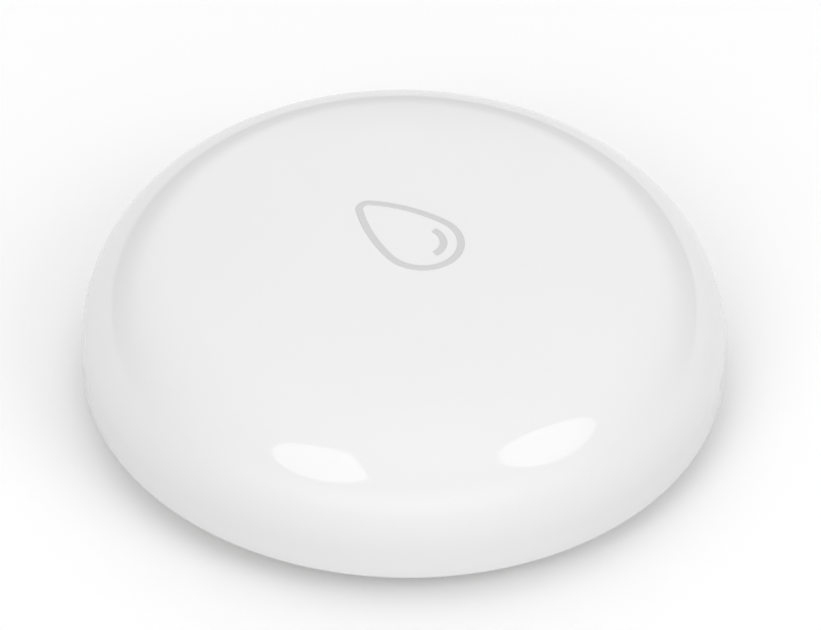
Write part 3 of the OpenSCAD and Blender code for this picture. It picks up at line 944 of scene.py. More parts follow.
@dataclass
class Cover:
    """The domed cover: a turned shell with a post, ribs, keys and snap beads inside, and a printed drop."""

    finish: Finish
    ink: Finish
    wall: float = 1.8
    shoulder_r: float = 9.0
    crown_rise: float = 1.4
    skirt_edge: float = 0.4
    inner_edge: float = 0.15
    sunk: float = 0.6
    root: float = 0.4
    post_r: float = 2.0
    post_z: float = 10.96
    post_edge: float = 0.2
    post_fillet: float = 0.5
    rib_l: float = 8.0
    rib_t: float = 1.0
    rib_drop: float = 0.8
    rib_edge: float = 0.15
    rib_count: int = 4
    key_w: float = 2.0
    key_in_r: float = 21.4
    key_low: float = 5.25
    key_high: float = 9.1
    key_angles: tuple[float, ...] = (45.0, 225.0)
    bead_in_r: float = 22.7
    bead_low: float = 2.2
    bead_h: float = 0.7
    bead_span: float = 26.0
    bead_count: int = 4
    drop_l: float = 10.0
    drop_w: float = 6.6
    drop_tip_r: float = 1.05
    drop_side_r: float = 14.0
    drop_line: float = 0.58
    gleam_r: float = 1.68
    gleam_from: float = -99.0
    gleam_to: float = 11.0
    ink_t: float = 0.05
    ink_profile: tuple[Flat, ...] = (
        (0.0, -0.4), (0.0, 0.3), (0.04, 0.85), (0.12, 1.0), (0.5, 1.0), (0.88, 1.0), (0.96, 0.85), (1.0, 0.3),
        (1.0, -0.4),
    )
    facets: int = 288
    post_facets: int = 72
    bend_steps: int = 44
    crown_steps: int = 48
    skirt_steps: int = 4
    inner_steps: int = 3
    skirt_edge_steps: int = 8
    inner_edge_steps: int = 5
    edge_steps: int = 4
    fillet_steps: int = 6
    rib_steps: int = 12
    key_steps: int = 10
    bead_steps: int = 20
    drop_round_steps: int = 56
    drop_side_steps: int = 24
    gleam_steps: int = 48
    radius: float = field(init=False)
    skirt_z: float = field(init=False)
    top_z: float = field(init=False)
    shoulder_x: float = field(init=False)
    shoulder_z: float = field(init=False)
    crown_r: float = field(init=False)
    crown_z: float = field(init=False)
    blend: float = field(init=False)

    def __post_init__(self) -> None:
        """Takes the outside from the frame and works out the arcs of the section."""
        low, high = node_box("top_cover")
        self.radius = high.x
        self.skirt_z = low.z
        self.top_z = high.z
        self.shoulder_x = self.radius - self.shoulder_r
        self.shoulder_z = self.top_z - self.crown_rise - self.shoulder_r
        rise = self.shoulder_r + self.crown_rise
        self.crown_r = (self.shoulder_x**2 + rise**2 - self.shoulder_r**2) / (2 * self.crown_rise)
        self.crown_z = self.top_z - self.crown_r
        self.blend = math.degrees(math.atan2(self.shoulder_z - self.crown_z, self.shoulder_x))

    def roof(self, out: float) -> float:
        """Gives the height of the roof's inside at a distance from the axis.

        Args:
            out: Distance from the axis.

        Returns:
            The height.
        """
        bend = self.shoulder_r - self.wall
        if out > self.shoulder_x + bend * math.cos(math.radians(self.blend)):
            return self.shoulder_z + math.sqrt(max(0.0, bend**2 - (out - self.shoulder_x) ** 2))
        return self.crown_z + math.sqrt((self.crown_r - self.wall) ** 2 - out**2)

    def form(self, inset: float, coarse: int) -> list[Flat]:
        """Lists the section of the form from the top of the skirt to the axis.

        Args:
            inset: How far the form is drawn in from the outside.
            coarse: How many times fewer steps it gets.

        Returns:
            Points as radius and height.
        """
        middle = (self.shoulder_x, self.shoulder_z)
        shoulder = arc(middle, self.shoulder_r - inset, 0, self.blend, self.bend_steps // coarse)
        crown = arc((0.0, self.crown_z), self.crown_r - inset, self.blend, 90, self.crown_steps // coarse)
        return shoulder + crown[1:-1] + [(0.0, self.top_z - inset)]

    def build(self) -> None:
        """Builds the shell with its inside features, and the print."""
        shape = Shape()
        self._shell(shape)
        self._post(shape)
        self._ribs(shape)
        self._keys(shape)
        self._beads(shape)
        shape.piece("cover_shell", Body.COVER, [self.finish], ["top_cover"])
        mark = Shape()
        self._drop(mark)
        self._gleam(mark)
        mark.piece("drop_print", Body.COVER, [self.ink], ["drop_mark"])

    def _shell(self, shape: Shape) -> None:
        """Adds the shell, outside and inside in one skin.

        Args:
            shape: Shape to add to.
        """
        low = self.skirt_z + self.skirt_edge
        outside = arc((self.radius - self.skirt_edge, low), self.skirt_edge, -90, 0, self.skirt_edge_steps)
        outside += [(self.radius, z) for z in spread(low, self.shoulder_z, self.skirt_steps)[1:-1]]
        outside += self.form(0.0, coarse=1)
        inner = self.radius - self.wall
        low = self.skirt_z + self.inner_edge
        inside = list(reversed(self.form(self.wall, coarse=2)))
        inside += [(inner, z) for z in spread(self.shoulder_z, low, self.inner_steps)[1:-1]]
        inside += arc((inner + self.inner_edge, low), self.inner_edge, 180, 270, self.inner_edge_steps)
        shape.turn(inside + outside, self.facets)

    def _post(self, shape: Shape) -> None:
        """Adds the post that presses the switch, with a round foot and a fillet at the crown.

        Args:
            shape: Shape to add to.
        """
        edge, wide = self.post_edge, self.post_r + self.post_fillet
        roof = self.roof(wide)
        outline = [(0.0, self.post_z)]
        outline += arc((self.post_r - edge, self.post_z + edge), edge, -90, 0, self.edge_steps)
        outline += arc((wide, roof - self.post_fillet), self.post_fillet, 180, 90, self.fillet_steps)
        outline += [(wide, roof + self.sunk), (0.0, roof + self.sunk)]
        shape.turn(outline, self.post_facets)

    def _ribs(self, shape: Shape) -> None:
        """Adds the stiffening ribs, with round lower edges.

        Args:
            shape: Shape to add to.
        """
        half, edge = self.rib_t / 2, self.rib_edge
        low = self.top_z - self.wall - self.rib_drop
        foot = arc((half - edge, low + edge), edge, 0, -90, self.edge_steps)
        foot += arc((edge - half, low + edge), edge, -90, -180, self.edge_steps)
        for number in range(self.rib_count):
            spin = spun(360 * number / self.rib_count)
            rings = []
            for out in spread(self.post_r - self.root, self.rib_l, self.rib_steps):
                top = self.roof(out) + self.sunk
                section = [(half, top)] + foot + [(-half, top)]
                rings.append([spin @ Vector((out, across, up)) for across, up in section])
            shape.loft(rings)

    def _keys(self, shape: Shape) -> None:
        """Adds the two keys that stop the cover from turning.

        Args:
            shape: Shape to add to.
        """
        middle = (self.shoulder_x, self.shoulder_z)
        bend = self.shoulder_r - self.wall / 2
        first = math.degrees(math.asin((self.key_low - self.shoulder_z) / bend))
        last = math.degrees(math.asin((self.key_high - self.shoulder_z) / bend))
        section = [(self.key_in_r, self.key_low)] + arc(middle, bend, first, last, self.key_steps)
        section += [(self.key_in_r, self.key_high)]
        for angle in self.key_angles:
            spin = spun(angle)
            sides = (-self.key_w / 2, self.key_w / 2)
            shape.loft([[spin @ Vector((out, side, up)) for out, up in section] for side in sides])

    def _beads(self, shape: Shape) -> None:
        """Adds the snap beads, each with a lead-in below and a catch above.

        Args:
            shape: Shape to add to.
        """
        wall = self.radius - self.wall
        inside = wall + self.root
        high = self.bead_low + self.bead_h
        middle = self.bead_low + self.bead_h / 2
        section = [(inside, self.bead_low), (wall, self.bead_low), (self.bead_in_r, middle)]
        section += [(self.bead_in_r, high), (inside, high)]
        for number in range(self.bead_count):
            turn = 360 * number / self.bead_count
            rings = []
            for angle in spread(turn - self.bead_span / 2, turn + self.bead_span / 2, self.bead_steps):
                spin = spun(angle)
                rings.append([spin @ Vector((out, 0.0, up)) for out, up in section])
            shape.loft(rings)

    def _drop_side(self, inset: float) -> list[Flat]:
        """Lists the drop's outline, drawn in by an inset, with the middle of its length at the origin.

        Args:
            inset: How far the outline is drawn in.

        Returns:
            Points all the way round.
        """
        round_r = self.drop_w / 2
        apart = self.drop_l - round_r - self.drop_tip_r
        to_round = self.drop_side_r - round_r
        to_tip = self.drop_side_r - self.drop_tip_r
        side_y = (apart**2 + to_round**2 - to_tip**2) / (2 * apart)
        side_x = math.sqrt(to_round**2 - side_y**2)
        low = math.degrees(math.asin(-side_y / to_round))
        high = math.degrees(math.asin((apart - side_y) / to_tip))
        right = arc((0.0, 0.0), round_r - inset, -90, low, self.drop_round_steps)
        right += arc((-side_x, side_y), self.drop_side_r - inset, low, high, self.drop_side_steps)[1:]
        right += arc((0.0, apart), self.drop_tip_r - inset, high, 90, self.drop_side_steps)[1:]
        left = [(-x, y) for x, y in reversed(right[1:-1])]
        shift = round_r - self.drop_l / 2
        return [(x, y + shift) for x, y in right + left]

    def _film(self, x: float, y: float, lift: float) -> Vector:
        """Gives the point on the crown over a flat place, lifted by the ink."""
        return Vector((x, y, self.crown_z + math.sqrt((self.crown_r + lift) ** 2 - x**2 - y**2)))

    def _line_ring(self, outer: Flat, inner: Flat) -> list[Vector]:
        """Gives the section of a printed line between two points of its edges.

        Args:
            outer: Point on one edge.
            inner: Point on the other edge.

        Returns:
            A closed ring with a flat top, sloped edges and a bottom just under the crown.
        """
        ring = []
        for share, lift in self.ink_profile:
            x = outer[0] + (inner[0] - outer[0]) * share
            y = outer[1] + (inner[1] - outer[1]) * share
            ring.append(self._film(x, y, lift * self.ink_t))
        return ring

    def _drop(self, shape: Shape) -> None:
        """Adds the outline of the drop."""
        edges = zip(self._drop_side(0.0), self._drop_side(self.drop_line))
        shape.loft([self._line_ring(outer, inner) for outer, inner in edges], around=True)

    def _gleam(self, shape: Shape) -> None:
        """Adds the gleam, an arc beside the drop's round end.

        Args:
            shape: Shape to add to.
        """
        centre = (0.0, (self.drop_w - self.drop_l) / 2)
        half = self.drop_line / 2
        outer = arc(centre, self.gleam_r + half, self.gleam_from, self.gleam_to, self.gleam_steps)
        inner = arc(centre, self.gleam_r - half, self.gleam_from, self.gleam_to, self.gleam_steps)
        shape.loft([self._line_ring(*pair) for pair in zip(outer, inner)])


@dataclass
class ChipParts:
    """The small chip parts on the board: ceramic bodies with tinned ends."""

    ceramic: Finish
    tin: Finish
    length: float = 1.6
    width: float = 0.8
    height: float = 0.5
    end_l: float = 0.3
    lip: float = 0.02
    edge: float = 0.05
    mid_bend: float = 0.3
    least_bend: float = 0.2
    bend_steps: int = 3
    places: tuple[tuple[float, float, float], ...] = (
        (-15.4, 4.0, 90.0), (-15.4, 7.0, 90.0), (-12.4, 10.8, 0.0), (-9.6, 10.8, 0.0), (-7.2, 12.6, 90.0),
        (8.5, 8.0, 0.0), (12.0, 5.0, 90.0), (12.0, 8.0, 90.0), (9.5, -1.5, 0.0), (12.4, -1.5, 0.0),
        (-6.6, -1.5, 90.0), (-13.4, -1.5, 90.0), (-5.0, -11.5, 0.0), (-2.0, -11.5, 0.0), (3.0, -11.5, 90.0),
    )

    def spots(self) -> list[Matrix]:
        """Gives the place and turn of each part on the board."""
        foot = node_box("board_passives")[0].z
        return [Matrix.Translation((x, y, foot)) @ spun(turn) for x, y, turn in self.places]

    def build(self) -> None:
        """Builds every part, with its two ends standing a little proud of its body."""
        shape = Shape()
        half_l, half_w = self.length / 2, self.width / 2
        inner = half_l - self.end_l
        for spot in self.spots():
            low = Vector((-inner - self.edge, self.lip - half_w, self.lip))
            high = Vector((inner + self.edge, half_w - self.lip, self.height - self.lip))
            self._block(shape, low, high, spot, mark=0)
            for start in (-half_l, inner):
                low = Vector((start, -half_w, 0.0))
                high = Vector((start + self.end_l, half_w, self.height))
                self._block(shape, low, high, spot, mark=1)
        finishes = [self.ceramic, self.tin]
        shape.piece("chip_parts", Body.BASE, finishes, ["board_passives"])

    def _block(self, shape: Shape, low: Vector, high: Vector, spot: Matrix, mark: int) -> None:
        """Adds a block with round edges.

        Args:
            shape: Shape to add to.
            low: Lowest corner.
            high: Highest corner.
            spot: Place and turn of the block.
            mark: Material slot of its faces.
        """
        edge, mid = self.edge, self.mid_bend * self.edge
        levels = (
            (low.z, edge), (low.z + mid, mid), (low.z + edge, 0.0),
            (high.z - edge, 0.0), (high.z - mid, mid), (high.z, edge),
        )
        rings = []
        for height, inset in levels:
            bend = max(edge - inset, self.least_bend * edge)
            ring = round_corners(low, high, edge, bend, self.bend_steps)
            rings.append([spot @ Vector((x, y, height)) for x, y in ring])
        shape.loft(rings, mark=mark)


@dataclass
class Solder:
    """The solder on the board: fillets at the parts' ends, toes round the radio chip, rings on the posts."""

    finish: Finish
    chips: ChipParts
    post_x: float
    sunk: float = 0.02
    reach: float = 0.3
    slope: tuple[Flat, ...] = ((1.0, 0.0), (0.55, 0.12), (0.25, 0.38), (0.08, 0.75), (0.0, 1.0))
    breadth: tuple[Flat, ...] = ((-0.5, 0.4), (-0.4, 0.9), (0.4, 0.9), (0.5, 0.4))
    chip_shares: Span = (0.9, 0.6)
    end_shares: tuple[tuple[str, float, float], ...] = (
        ("reservoir_capacitor", 0.75, 0.1), ("status_led", 0.85, 0.4), ("crystal", 0.9, 0.35),
    )
    foot_at: float = 1 / 3
    toe_count: int = 12
    toe_pitch: float = 0.5
    toe_w: float = 0.26
    toe_h: float = 0.2
    spigot_r: float = 1.1
    ring_r: float = 1.75
    ring_h: float = 0.32
    ring_curve: float = 2.4
    ring_steps: int = 8
    ring_facets: int = 48
    top: float = field(init=False)

    def __post_init__(self) -> None:
        """Takes the height of the board's face from the frame."""
        self.top = node_box("circuit_board")[1].z

    def build(self) -> None:
        """Builds all the solder in one piece."""
        shape = Shape()
        wide, high = self.chip_shares
        for spot in self.chips.spots():
            self._pair(shape, spot, self.chips.length, wide * self.chips.width, high * self.chips.height)
        for node, wide, high in self.end_shares:
            low, far = node_box(node)
            size = far - low
            self._pair(shape, self._middle(node), size.x, size.y * wide, size.z * high)
        self._switch_feet(shape)
        self._toes(shape)
        self._rings(shape)
        shape.piece("solder_joints", Body.BASE, [self.finish])

    def _middle(self, node: str) -> Matrix:
        """Gives the place on the board under the middle of a node."""
        low, high = node_box(node)
        return Matrix.Translation(((low.x + high.x) / 2, (low.y + high.y) / 2, self.top))

    def _fillet(self, shape: Shape, spot: Matrix, width: float, height: float) -> None:
        """Adds one hollow fillet that runs down from a face to the board.

        Args:
            shape: Shape to add to.
            spot: Foot of the face, with X pointing away from it.
            width: Width of the fillet.
            height: Height that it climbs to.
        """
        rings = []
        for side, share in self.breadth:
            section = [(-self.sunk, -self.sunk), (self.reach * share, -self.sunk)]
            section += [(self.reach * share * out, height * share * up) for out, up in self.slope]
            section += [(-self.sunk, height * share)]
            rings.append([spot @ Vector((out, side * width, up)) for out, up in section])
        shape.loft(rings)

    def _pair(self, shape: Shape, spot: Matrix, length: float, width: float, height: float) -> None:
        """Adds a fillet at both ends of a part that lies along X.

        Args:
            shape: Shape to add to.
            spot: Middle of the part on the board.
            length: Length of the part.
            width: Width of the fillets.
            height: Height of the fillets.
        """
        for turn in (0, 180):
            end = spot @ spun(turn) @ Matrix.Translation((length / 2, 0.0, 0.0))
            self._fillet(shape, end, width, height)

    def _switch_feet(self, shape: Shape) -> None:
        """Adds a fillet at the end of each of the switch's four feet.

        Args:
            shape: Shape to add to.
        """
        low, high = node_box("switch_terminals")
        body_low, body_high = node_box("switch_housing")
        foot_y = (body_high.x - body_low.x) * self.foot_at
        foot_w = 2 * (high.y - foot_y)
        for across in (-foot_y, foot_y):
            middle = Matrix.Translation((0.0, across, self.top))
            self._pair(shape, middle, high.x - low.x, foot_w, self.toe_h)

    def _toes(self, shape: Shape) -> None:
        """Adds the row of toes at each side of the radio chip.

        Args:
            shape: Shape to add to.
        """
        low, high = node_box("radio_chip")
        first = -self.toe_pitch * (self.toe_count - 1) / 2
        for turn in (0, 90, 180, 270):
            face = self._middle("radio_chip") @ spun(turn)
            for number in range(self.toe_count):
                place = Matrix.Translation(((high.x - low.x) / 2, first + number * self.toe_pitch, 0.0))
                self._fillet(shape, face @ place, self.toe_w, self.toe_h)

    def _rings(self, shape: Shape) -> None:
        """Adds a hollow ring of solder round the top of each probe post.

        Args:
            shape: Shape to add to.
        """
        wide = self.ring_r - self.spigot_r
        inner, low = self.spigot_r - self.sunk, self.top - self.sunk
        outline = [(inner, low), (self.ring_r, low)]
        for share in spread(0.0, 1.0, self.ring_steps):
            height = self.ring_h * share**self.ring_curve
            outline.append((self.spigot_r + wide * (1 - share), self.top + height))
        outline.append((inner, self.top + self.ring_h))
        for centre in (-self.post_x, self.post_x):
            shape.turn(outline, self.ring_facets, (centre, 0.0))


@dataclass
class Silkscreen:
    """The white print on the board: a frame round each larger part, and a dot at its first corner."""

    ink: Finish
    line_w: float = 0.15
    thick: float = 0.02
    corner_r: float = 0.3
    corner_steps: int = 6
    dot_r: float = 0.28
    dot_facets: int = 32
    margins: tuple[tuple[str, float], ...] = (
        ("radio_chip", 0.6), ("crystal", 0.5), ("reservoir_capacitor", 0.6), ("status_led", 0.55),
    )

    def build(self) -> None:
        """Builds all the print in one piece."""
        shape = Shape()
        top = node_box("circuit_board")[1].z
        for node, margin in self.margins:
            low, high = node_box(node)
            edge = Vector((margin, margin, 0.0))
            self._frame(shape, low - edge, high + edge, top)
            self._dot(shape, (low.x - margin - 2 * self.dot_r, high.y + margin - self.dot_r), top)
        shape.piece("board_print", Body.BASE, [self.ink])

    def _frame(self, shape: Shape, low: Vector, high: Vector, top: float) -> None:
        """Adds one frame with round corners.

        Args:
            shape: Shape to add to.
            low: Lower left corner.
            high: Upper right corner.
            top: Height of the board's face.
        """
        reach = self.corner_r
        outer = round_corners(low, high, reach, reach, self.corner_steps)
        inner = round_corners(low, high, reach, reach - self.line_w, self.corner_steps)
        rings = []
        for out, within in zip(outer, inner):
            rings.append([Vector((*out, top - self.thick)), Vector((*out, top + self.thick)),
                          Vector((*within, top + self.thick)), Vector((*within, top - self.thick))])
        shape.loft(rings, around=True)

    def _dot(self, shape: Shape, centre: Flat, top: float) -> None:
        """Adds one round dot."""
        low, high = top - self.thick, top + self.thick
        shape.turn([(0.0, low), (self.dot_r, low), (self.dot_r, high), (0.0, high)], self.dot_facets, centre)


@dataclass
class SnapDome:
    """The switch's sprung metal dome, which flattens as the stem comes down on it."""

    finish: Finish
    joint: str = "switch_stem_press"
    sheet: float = 0.1
    pressed: float = 0.42
    steps: int = 24
    facets: int = 96

    def build(self) -> None:
        """Builds the dome as a cap of a sphere."""
        low, high = node_box("switch_dome")
        height = high.z - low.z
        ball_r = (high.x**2 + height**2) / (2 * height)
        inner_r = ball_r - self.sheet
        centre = (0.0, high.z - ball_r)
        rim = math.degrees(math.asin((ball_r - height) / ball_r))
        inner_rim = math.degrees(math.asin((ball_r - height) / inner_r))
        outline = [(0.0, high.z - self.sheet)] + arc(centre, inner_r, 90, inner_rim, self.steps)[1:]
        outline += arc(centre, ball_r, rim, 90, self.steps)[:-1] + [(0.0, high.z)]
        shape = Shape()
        shape.turn(outline, self.facets)
        made = shape.piece("snap_dome", Body.BASE, [self.finish], ["switch_dome"])
        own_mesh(made)


@dataclass
class CarriedNodes:
    """The nodes that keep their solid: each has a finish and the rounding of its edges, 0 for none."""

    looks: dict[str, tuple[Finish, float]]
    join: float = 0.0005
    segments: int = 2
    sharp: float = 35.0

    def dress(self) -> None:
        """Dresses every node of the list."""
        for name, (finish, edge) in self.looks.items():
            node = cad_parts[name]
            node.data.materials.clear()
            node.data.materials.append(finish.material())
            if edge > 0:
                self._soften(node, edge)
            LOG.info("%s keeps its solid, dressed as %s", name, finish.name)

    def _soften(self, node: bpy.types.Object, edge: float) -> None:
        """Joins the solid's faces and rounds its sharp edges.

        Args:
            node: The node's object.
            edge: Rounding, in millimetres.
        """
        weld = node.modifiers.new("join_faces", "WELD")
        weld.merge_threshold = self.join * MM
        bevel = node.modifiers.new("soft_edges", "BEVEL")
        bevel.width = edge * MM
        bevel.segments = self.segments
        bevel.limit_method = "ANGLE"
        bevel.angle_limit = math.radians(self.sharp)
        bevel.use_clamp_overlap = True
        bevel.harden_normals = True


def stage_sheet(name: str, corners: Sequence[Vector], material: bpy.types.Material) -> bpy.types.Object:
    """Makes a flat sheet that belongs to the stage and not to the object.

    Args:
        name: Name of the sheet.
        corners: Its corners in order, in metres.
        material: Its material.

    Returns:
        The sheet.
    """
    mesh = bpy.data.meshes.new(name)
    mesh.from_pydata(corners, [], [list(range(len(corners)))])
    mesh.materials.append(material)
    made = bpy.data.objects.new(name, mesh)
    bpy.context.scene.collection.objects.link(made)
    return made


@dataclass(frozen=True)
class SoftBox:
    """A round soft light, placed by its angles from the camera's side, cut straight where a cut is given."""

    name: str
    azimuth: float
    elevation: float
    level: float
    radius: float = 280.0
    distance: float = 1000.0
    cut: float = 1.0
    cut_turn: float = 0.0
    corners: int = 144

    def build(self, aim: Vector, toward: Vector, right: Vector) -> None:
        """Builds the glowing disc, facing the object.

        Args:
            aim: Point that it faces, in metres.
            toward: Level direction from the object to the camera.
            right: Level direction to the camera's right.
        """
        azimuth, elevation = math.radians(self.azimuth), math.radians(self.elevation)
        level = toward * math.cos(azimuth) + right * math.sin(azimuth)
        way = level * math.cos(elevation) + Vector((0.0, 0.0, math.sin(elevation)))
        side = Vector((0.0, 0.0, 1.0)).cross(way).normalized()
        up = way.cross(side)
        turn = math.radians(self.cut_turn)
        reach = self.radius * MM
        centre = aim + way * self.distance * MM
        rim = []
        for x, y in arc((0.0, 0.0), 1.0, 0, 360, self.corners)[:-1]:
            over = max(0.0, x * math.cos(turn) + y * math.sin(turn) - self.cut)
            out_x, out_y = x - over * math.cos(turn), y - over * math.sin(turn)
            rim.append(centre + side * out_x * reach + up * out_y * reach)
        glow = bpy.data.materials.new(self.name)
        tree = ShaderTree(glow)
        lamp = tree.node("ShaderNodeEmission", feeds={"Strength": self.level})
        tree.node("ShaderNodeOutputMaterial", feeds={"Surface": lamp})
        made = stage_sheet(self.name, rim, glow)
        made.visible_camera = False


@dataclass
class Studio:
    """A white floor, a soft sky that is dim low down at the back, two round soft lights and the camera."""

    azimuth: float = -46.5
    elevation: float = 40.71
    roll: float = 1.068
    distance: float = 500.0
    aim_z: float = 7.8
    pixels_per_mm: float = 12.92
    aim_pixel: Flat = (404.57, 302.89)
    picture: Flat = (821.0, 630.0)
    sensor_w: float = 36.0
    near: float = 10.0
    far: float = 100000.0
    floor_half: float = 6000.0
    floor_colour: Colour = (1.0, 1.0, 1.0, 1.0)
    floor_bounce: Colour = (0.58, 0.58, 0.58, 1.0)
    floor_glow: Colour = (0.045, 0.045, 0.045, 1.0)
    no_glow: Colour = (0.0, 0.0, 0.0, 1.0)
    sky_high: float = 0.87
    sky_back: float = 1.1
    sky_low: float = 0.4
    sky_front: float = 1.7
    low_from: float = 0.2
    low_to: float = 0.46
    boxes: tuple[SoftBox, ...] = (
        SoftBox("soft_box_left", azimuth=-30.1, elevation=39.1, level=2.69, cut=0.73, cut_turn=29.0),
        SoftBox("soft_box_right", azimuth=58.2, elevation=37.7, level=2.59),
    )
    toward: Vector = field(init=False)
    right: Vector = field(init=False)
    aim: Vector = field(init=False)

    def __post_init__(self) -> None:
        """Works out the camera's level directions and the point that it looks at."""
        turn = math.radians(self.azimuth)
        self.toward = Vector((math.sin(turn), -math.cos(turn), 0.0))
        self.right = Vector((math.cos(turn), math.sin(turn), 0.0))
        self.aim = Vector((0.0, 0.0, self.aim_z * MM))

    def build(self) -> None:
        """Builds the camera, the floor and the lights."""
        self._camera()
        self._floor()
        self._sky()
        for box in self.boxes:
            box.build(self.aim, self.toward, self.right)
        bpy.context.scene.view_settings.view_transform = "Standard"

    def _camera(self) -> None:
        """Places the camera so that the object falls where it does in the photograph."""
        lift = math.radians(self.elevation)
        roll = math.radians(self.roll)
        back = self.toward * math.cos(lift) + Vector((0.0, 0.0, math.sin(lift)))
        level_up = back.cross(self.right)
        right = self.right * math.cos(roll) + level_up * math.sin(roll)
        up = level_up * math.cos(roll) - self.right * math.sin(roll)
        off_x = (self.picture[0] / 2 - self.aim_pixel[0]) / self.pixels_per_mm
        off_y = (self.picture[1] / 2 - self.aim_pixel[1]) / self.pixels_per_mm
        place = self.aim + back * self.distance * MM + (right * off_x - up * off_y) * MM
        lens = bpy.data.cameras.new("camera")
        lens.sensor_width = self.sensor_w
        lens.lens = self.pixels_per_mm * self.distance * self.sensor_w / self.picture[0]
        lens.clip_start = self.near * MM
        lens.clip_end = self.far * MM
        made = bpy.data.objects.new("camera", lens)
        made.matrix_world = Matrix.Translation(place) @ Matrix((right, up, back)).transposed().to_4x4()
        bpy.context.scene.collection.objects.link(made)
        bpy.context.scene.camera = made

    def _floor(self) -> None:
        """Lays the plain floor that the object stands on, white to the camera and in reflections."""
        half = self.floor_half * MM
        sides = ((-half, -half), (half, -half), (half, half), (-half, half))
        corners = [Vector((x, y, 0.0)) for x, y in sides]
        paper = bpy.data.materials.new("floor_paper")
        tree = ShaderTree(paper)
        ray = tree.node("ShaderNodeLightPath", output="Is Camera Ray")
        seen = ray.at_least(ray.other("Is Glossy Ray")).at_least(ray.other("Is Transmission Ray"))
        tree.surface({
            "Base Color": tree.mix(seen, self.floor_bounce, self.floor_colour),
            "Roughness": 1.0,
            "Specular IOR Level": 0.0,
            "Emission Color": tree.mix(seen, self.no_glow, self.floor_glow),
            "Emission Strength": 1.0,
        })
        stage_sheet("floor", corners, paper)

    def _sky(self) -> None:
        """Lights the scene from above and behind, and from low down in front."""
        world = bpy.data.worlds.new("studio")
        bpy.context.scene.world = world
        tree = ShaderTree(world)
        way = tree.node("ShaderNodeTexCoord", output="Generated")
        _, _, up = tree.axes(way)
        high = up.step(self.low_from, self.low_to)
        above = self.sky_high + self._lobe(tree, way, -self.toward, wide=0.0) * self.sky_back
        below = self.sky_low + self._lobe(tree, way, self.toward, wide=1.0) * self.sky_front
        level = above * high + below * (1 - high)
        glow = tree.node("ShaderNodeBackground", feeds={"Strength": level})
        tree.node("ShaderNodeOutputWorld", feeds={"Surface": glow})

    @staticmethod
    def _lobe(tree: ShaderTree, way: Sock, side: Vector, wide: float) -> Sock:
        """Gives a glow of 1 towards a side, down to 0 a quarter turn away, or opposite where wide is 1."""
        turned = tree.node("ShaderNodeVectorMath", {"operation": "DOT_PRODUCT"}, {0: way, 1: side}, "Value")
        return ((turned + wide) / (1 + wide)).at_least(0.0) ** 2


PROBE_X = 19.35

WHITE_GLOSS = PolishedMoulding("polished_white", tone(240, 240, 240), 0.035)
GREY_INK = PadPrint("grey_ink", tone(212, 212, 212), 0.3)
WHITE_ETCHED = EtchedMoulding("etched_white", tone(234, 234, 232), 0.46, pin_ring=18.4, pin_turn=150.0)
DOOR_ETCHED = EtchedMoulding("etched_door", tone(236, 236, 234), 0.42)
SEAL_RUBBER = Rubber("seal_silicone", tone(78, 80, 82), 0.55, parting_z=4.1)
WASHER_RUBBER = Rubber("washer_silicone", tone(70, 72, 74), 0.55, parting_z=1.7)
DOOR_RUBBER = Rubber("door_silicone", tone(78, 80, 82), 0.55, parting_z=1.485)
PROBE_STEEL = TurnedMetal("probe_steel", tone(214, 213, 210), 0.22, axis_x=PROBE_X)
POST_BRASS = TurnedMetal(
    "post_brass", tone(214, 178, 100), 0.25, axis_x=PROBE_X, stain=tone(120, 82, 40), stain_share=0.4,
)
CELL_STEEL = TurnedMetal("cell_steel", tone(206, 206, 204), 0.24, rings_per_mm=3.0, ring_depth=0.003)
BOARD_MASK = SolderMask("board_mask", tone(18, 92, 52), 0.32)
SCREW_ZINC = RolledMetal(
    "screw_zinc", tone(196, 200, 206), 0.3, along=(6.0, 6.0, 1.0), bloom=tone(150, 156, 172),
)
FRAME_NICKEL = RolledMetal("frame_nickel", tone(208, 206, 200), 0.28)
FOOT_TIN = RolledMetal("foot_tin", tone(212, 212, 210), 0.36)
STRIP_NICKEL = RolledMetal("strip_nickel", tone(204, 201, 192), 0.26, bloom=tone(168, 158, 138))
LANE_COPPER = RolledMetal("lane_copper", tone(216, 152, 104), 0.34, bloom=tone(150, 92, 60))
HOUSING_BLACK = MouldedEpoxy("housing_black", tone(38, 38, 40), 0.5)
STEM_BLACK = MouldedEpoxy("stem_black", tone(28, 28, 29), 0.42)
CHIP_BLACK = MouldedEpoxy("chip_black", tone(34, 34, 36), 0.58)
GASKET_GREY = MouldedEpoxy("gasket_grey", tone(150, 152, 154), 0.5)
LIGHT_RESIN = CastResin("light_resin", tone(244, 214, 96), 0.12, middle=(8.5, 5.0))
CAP_CASE = BandedCase("capacitor_case", tone(214, 164, 52), 0.42, middle_x=9.5)
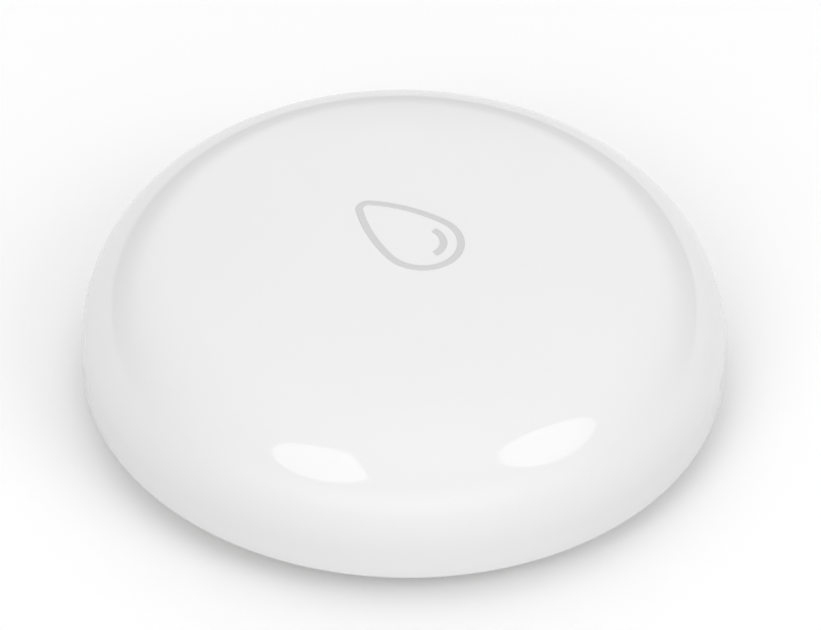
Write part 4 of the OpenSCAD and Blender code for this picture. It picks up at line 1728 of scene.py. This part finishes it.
CHIP_CERAMIC = FiredCeramic("chip_ceramic", tone(170, 140, 104), 0.5)
SOLDER_TIN = RolledMetal(
    "solder_tin", tone(206, 207, 206), 0.24, along=(1.5, 1.5, 1.5), bloom=tone(168, 168, 164),
)
BOARD_INK = PadPrint("board_ink", tone(232, 232, 226), 0.5)

CARRIED = CarriedNodes({
    "base_shell": (WHITE_ETCHED, 0.1),
    "battery_cover": (DOOR_ETCHED, 0.1),
    "perimeter_seal": (SEAL_RUBBER, 0.0),
    "probe_seals": (WASHER_RUBBER, 0.06),
    "battery_cover_seal": (DOOR_RUBBER, 0.0),
    "probe_screw_left": (PROBE_STEEL, 0.06),
    "probe_screw_right": (PROBE_STEEL, 0.06),
    "probe_posts": (POST_BRASS, 0.08),
    "cell_can": (CELL_STEEL, 0.05),
    "cell_cap": (CELL_STEEL, 0.05),
    "cell_gasket": (GASKET_GREY, 0.0),
    "circuit_board": (BOARD_MASK, 0.04),
    "board_screws": (SCREW_ZINC, 0.05),
    "switch_housing": (HOUSING_BLACK, 0.08),
    "switch_frame": (FRAME_NICKEL, 0.04),
    "switch_terminals": (FOOT_TIN, 0.03),
    "switch_stem": (STEM_BLACK, 0.1),
    "status_led": (LIGHT_RESIN, 0.05),
    "radio_chip": (CHIP_BLACK, 0.05),
    "crystal": (FRAME_NICKEL, 0.06),
    "reservoir_capacitor": (CAP_CASE, 0.1),
    "antenna_trace": (LANE_COPPER, 0.0),
    "positive_clip": (STRIP_NICKEL, 0.04),
    "negative_spring": (STRIP_NICKEL, 0.04),
})


def main() -> None:
    """Builds the scene piece by piece."""
    logging.basicConfig(level=logging.INFO, format="%(name)s: %(message)s")
    Cover(WHITE_GLOSS, GREY_INK).build()
    chips = ChipParts(CHIP_CERAMIC, FOOT_TIN)
    chips.build()
    Solder(SOLDER_TIN, chips, PROBE_X).build()
    Silkscreen(BOARD_INK).build()
    SnapDome(FRAME_NICKEL).build()
    CARRIED.dress()
    Studio().build()


if __name__ == "__main__":
    main()
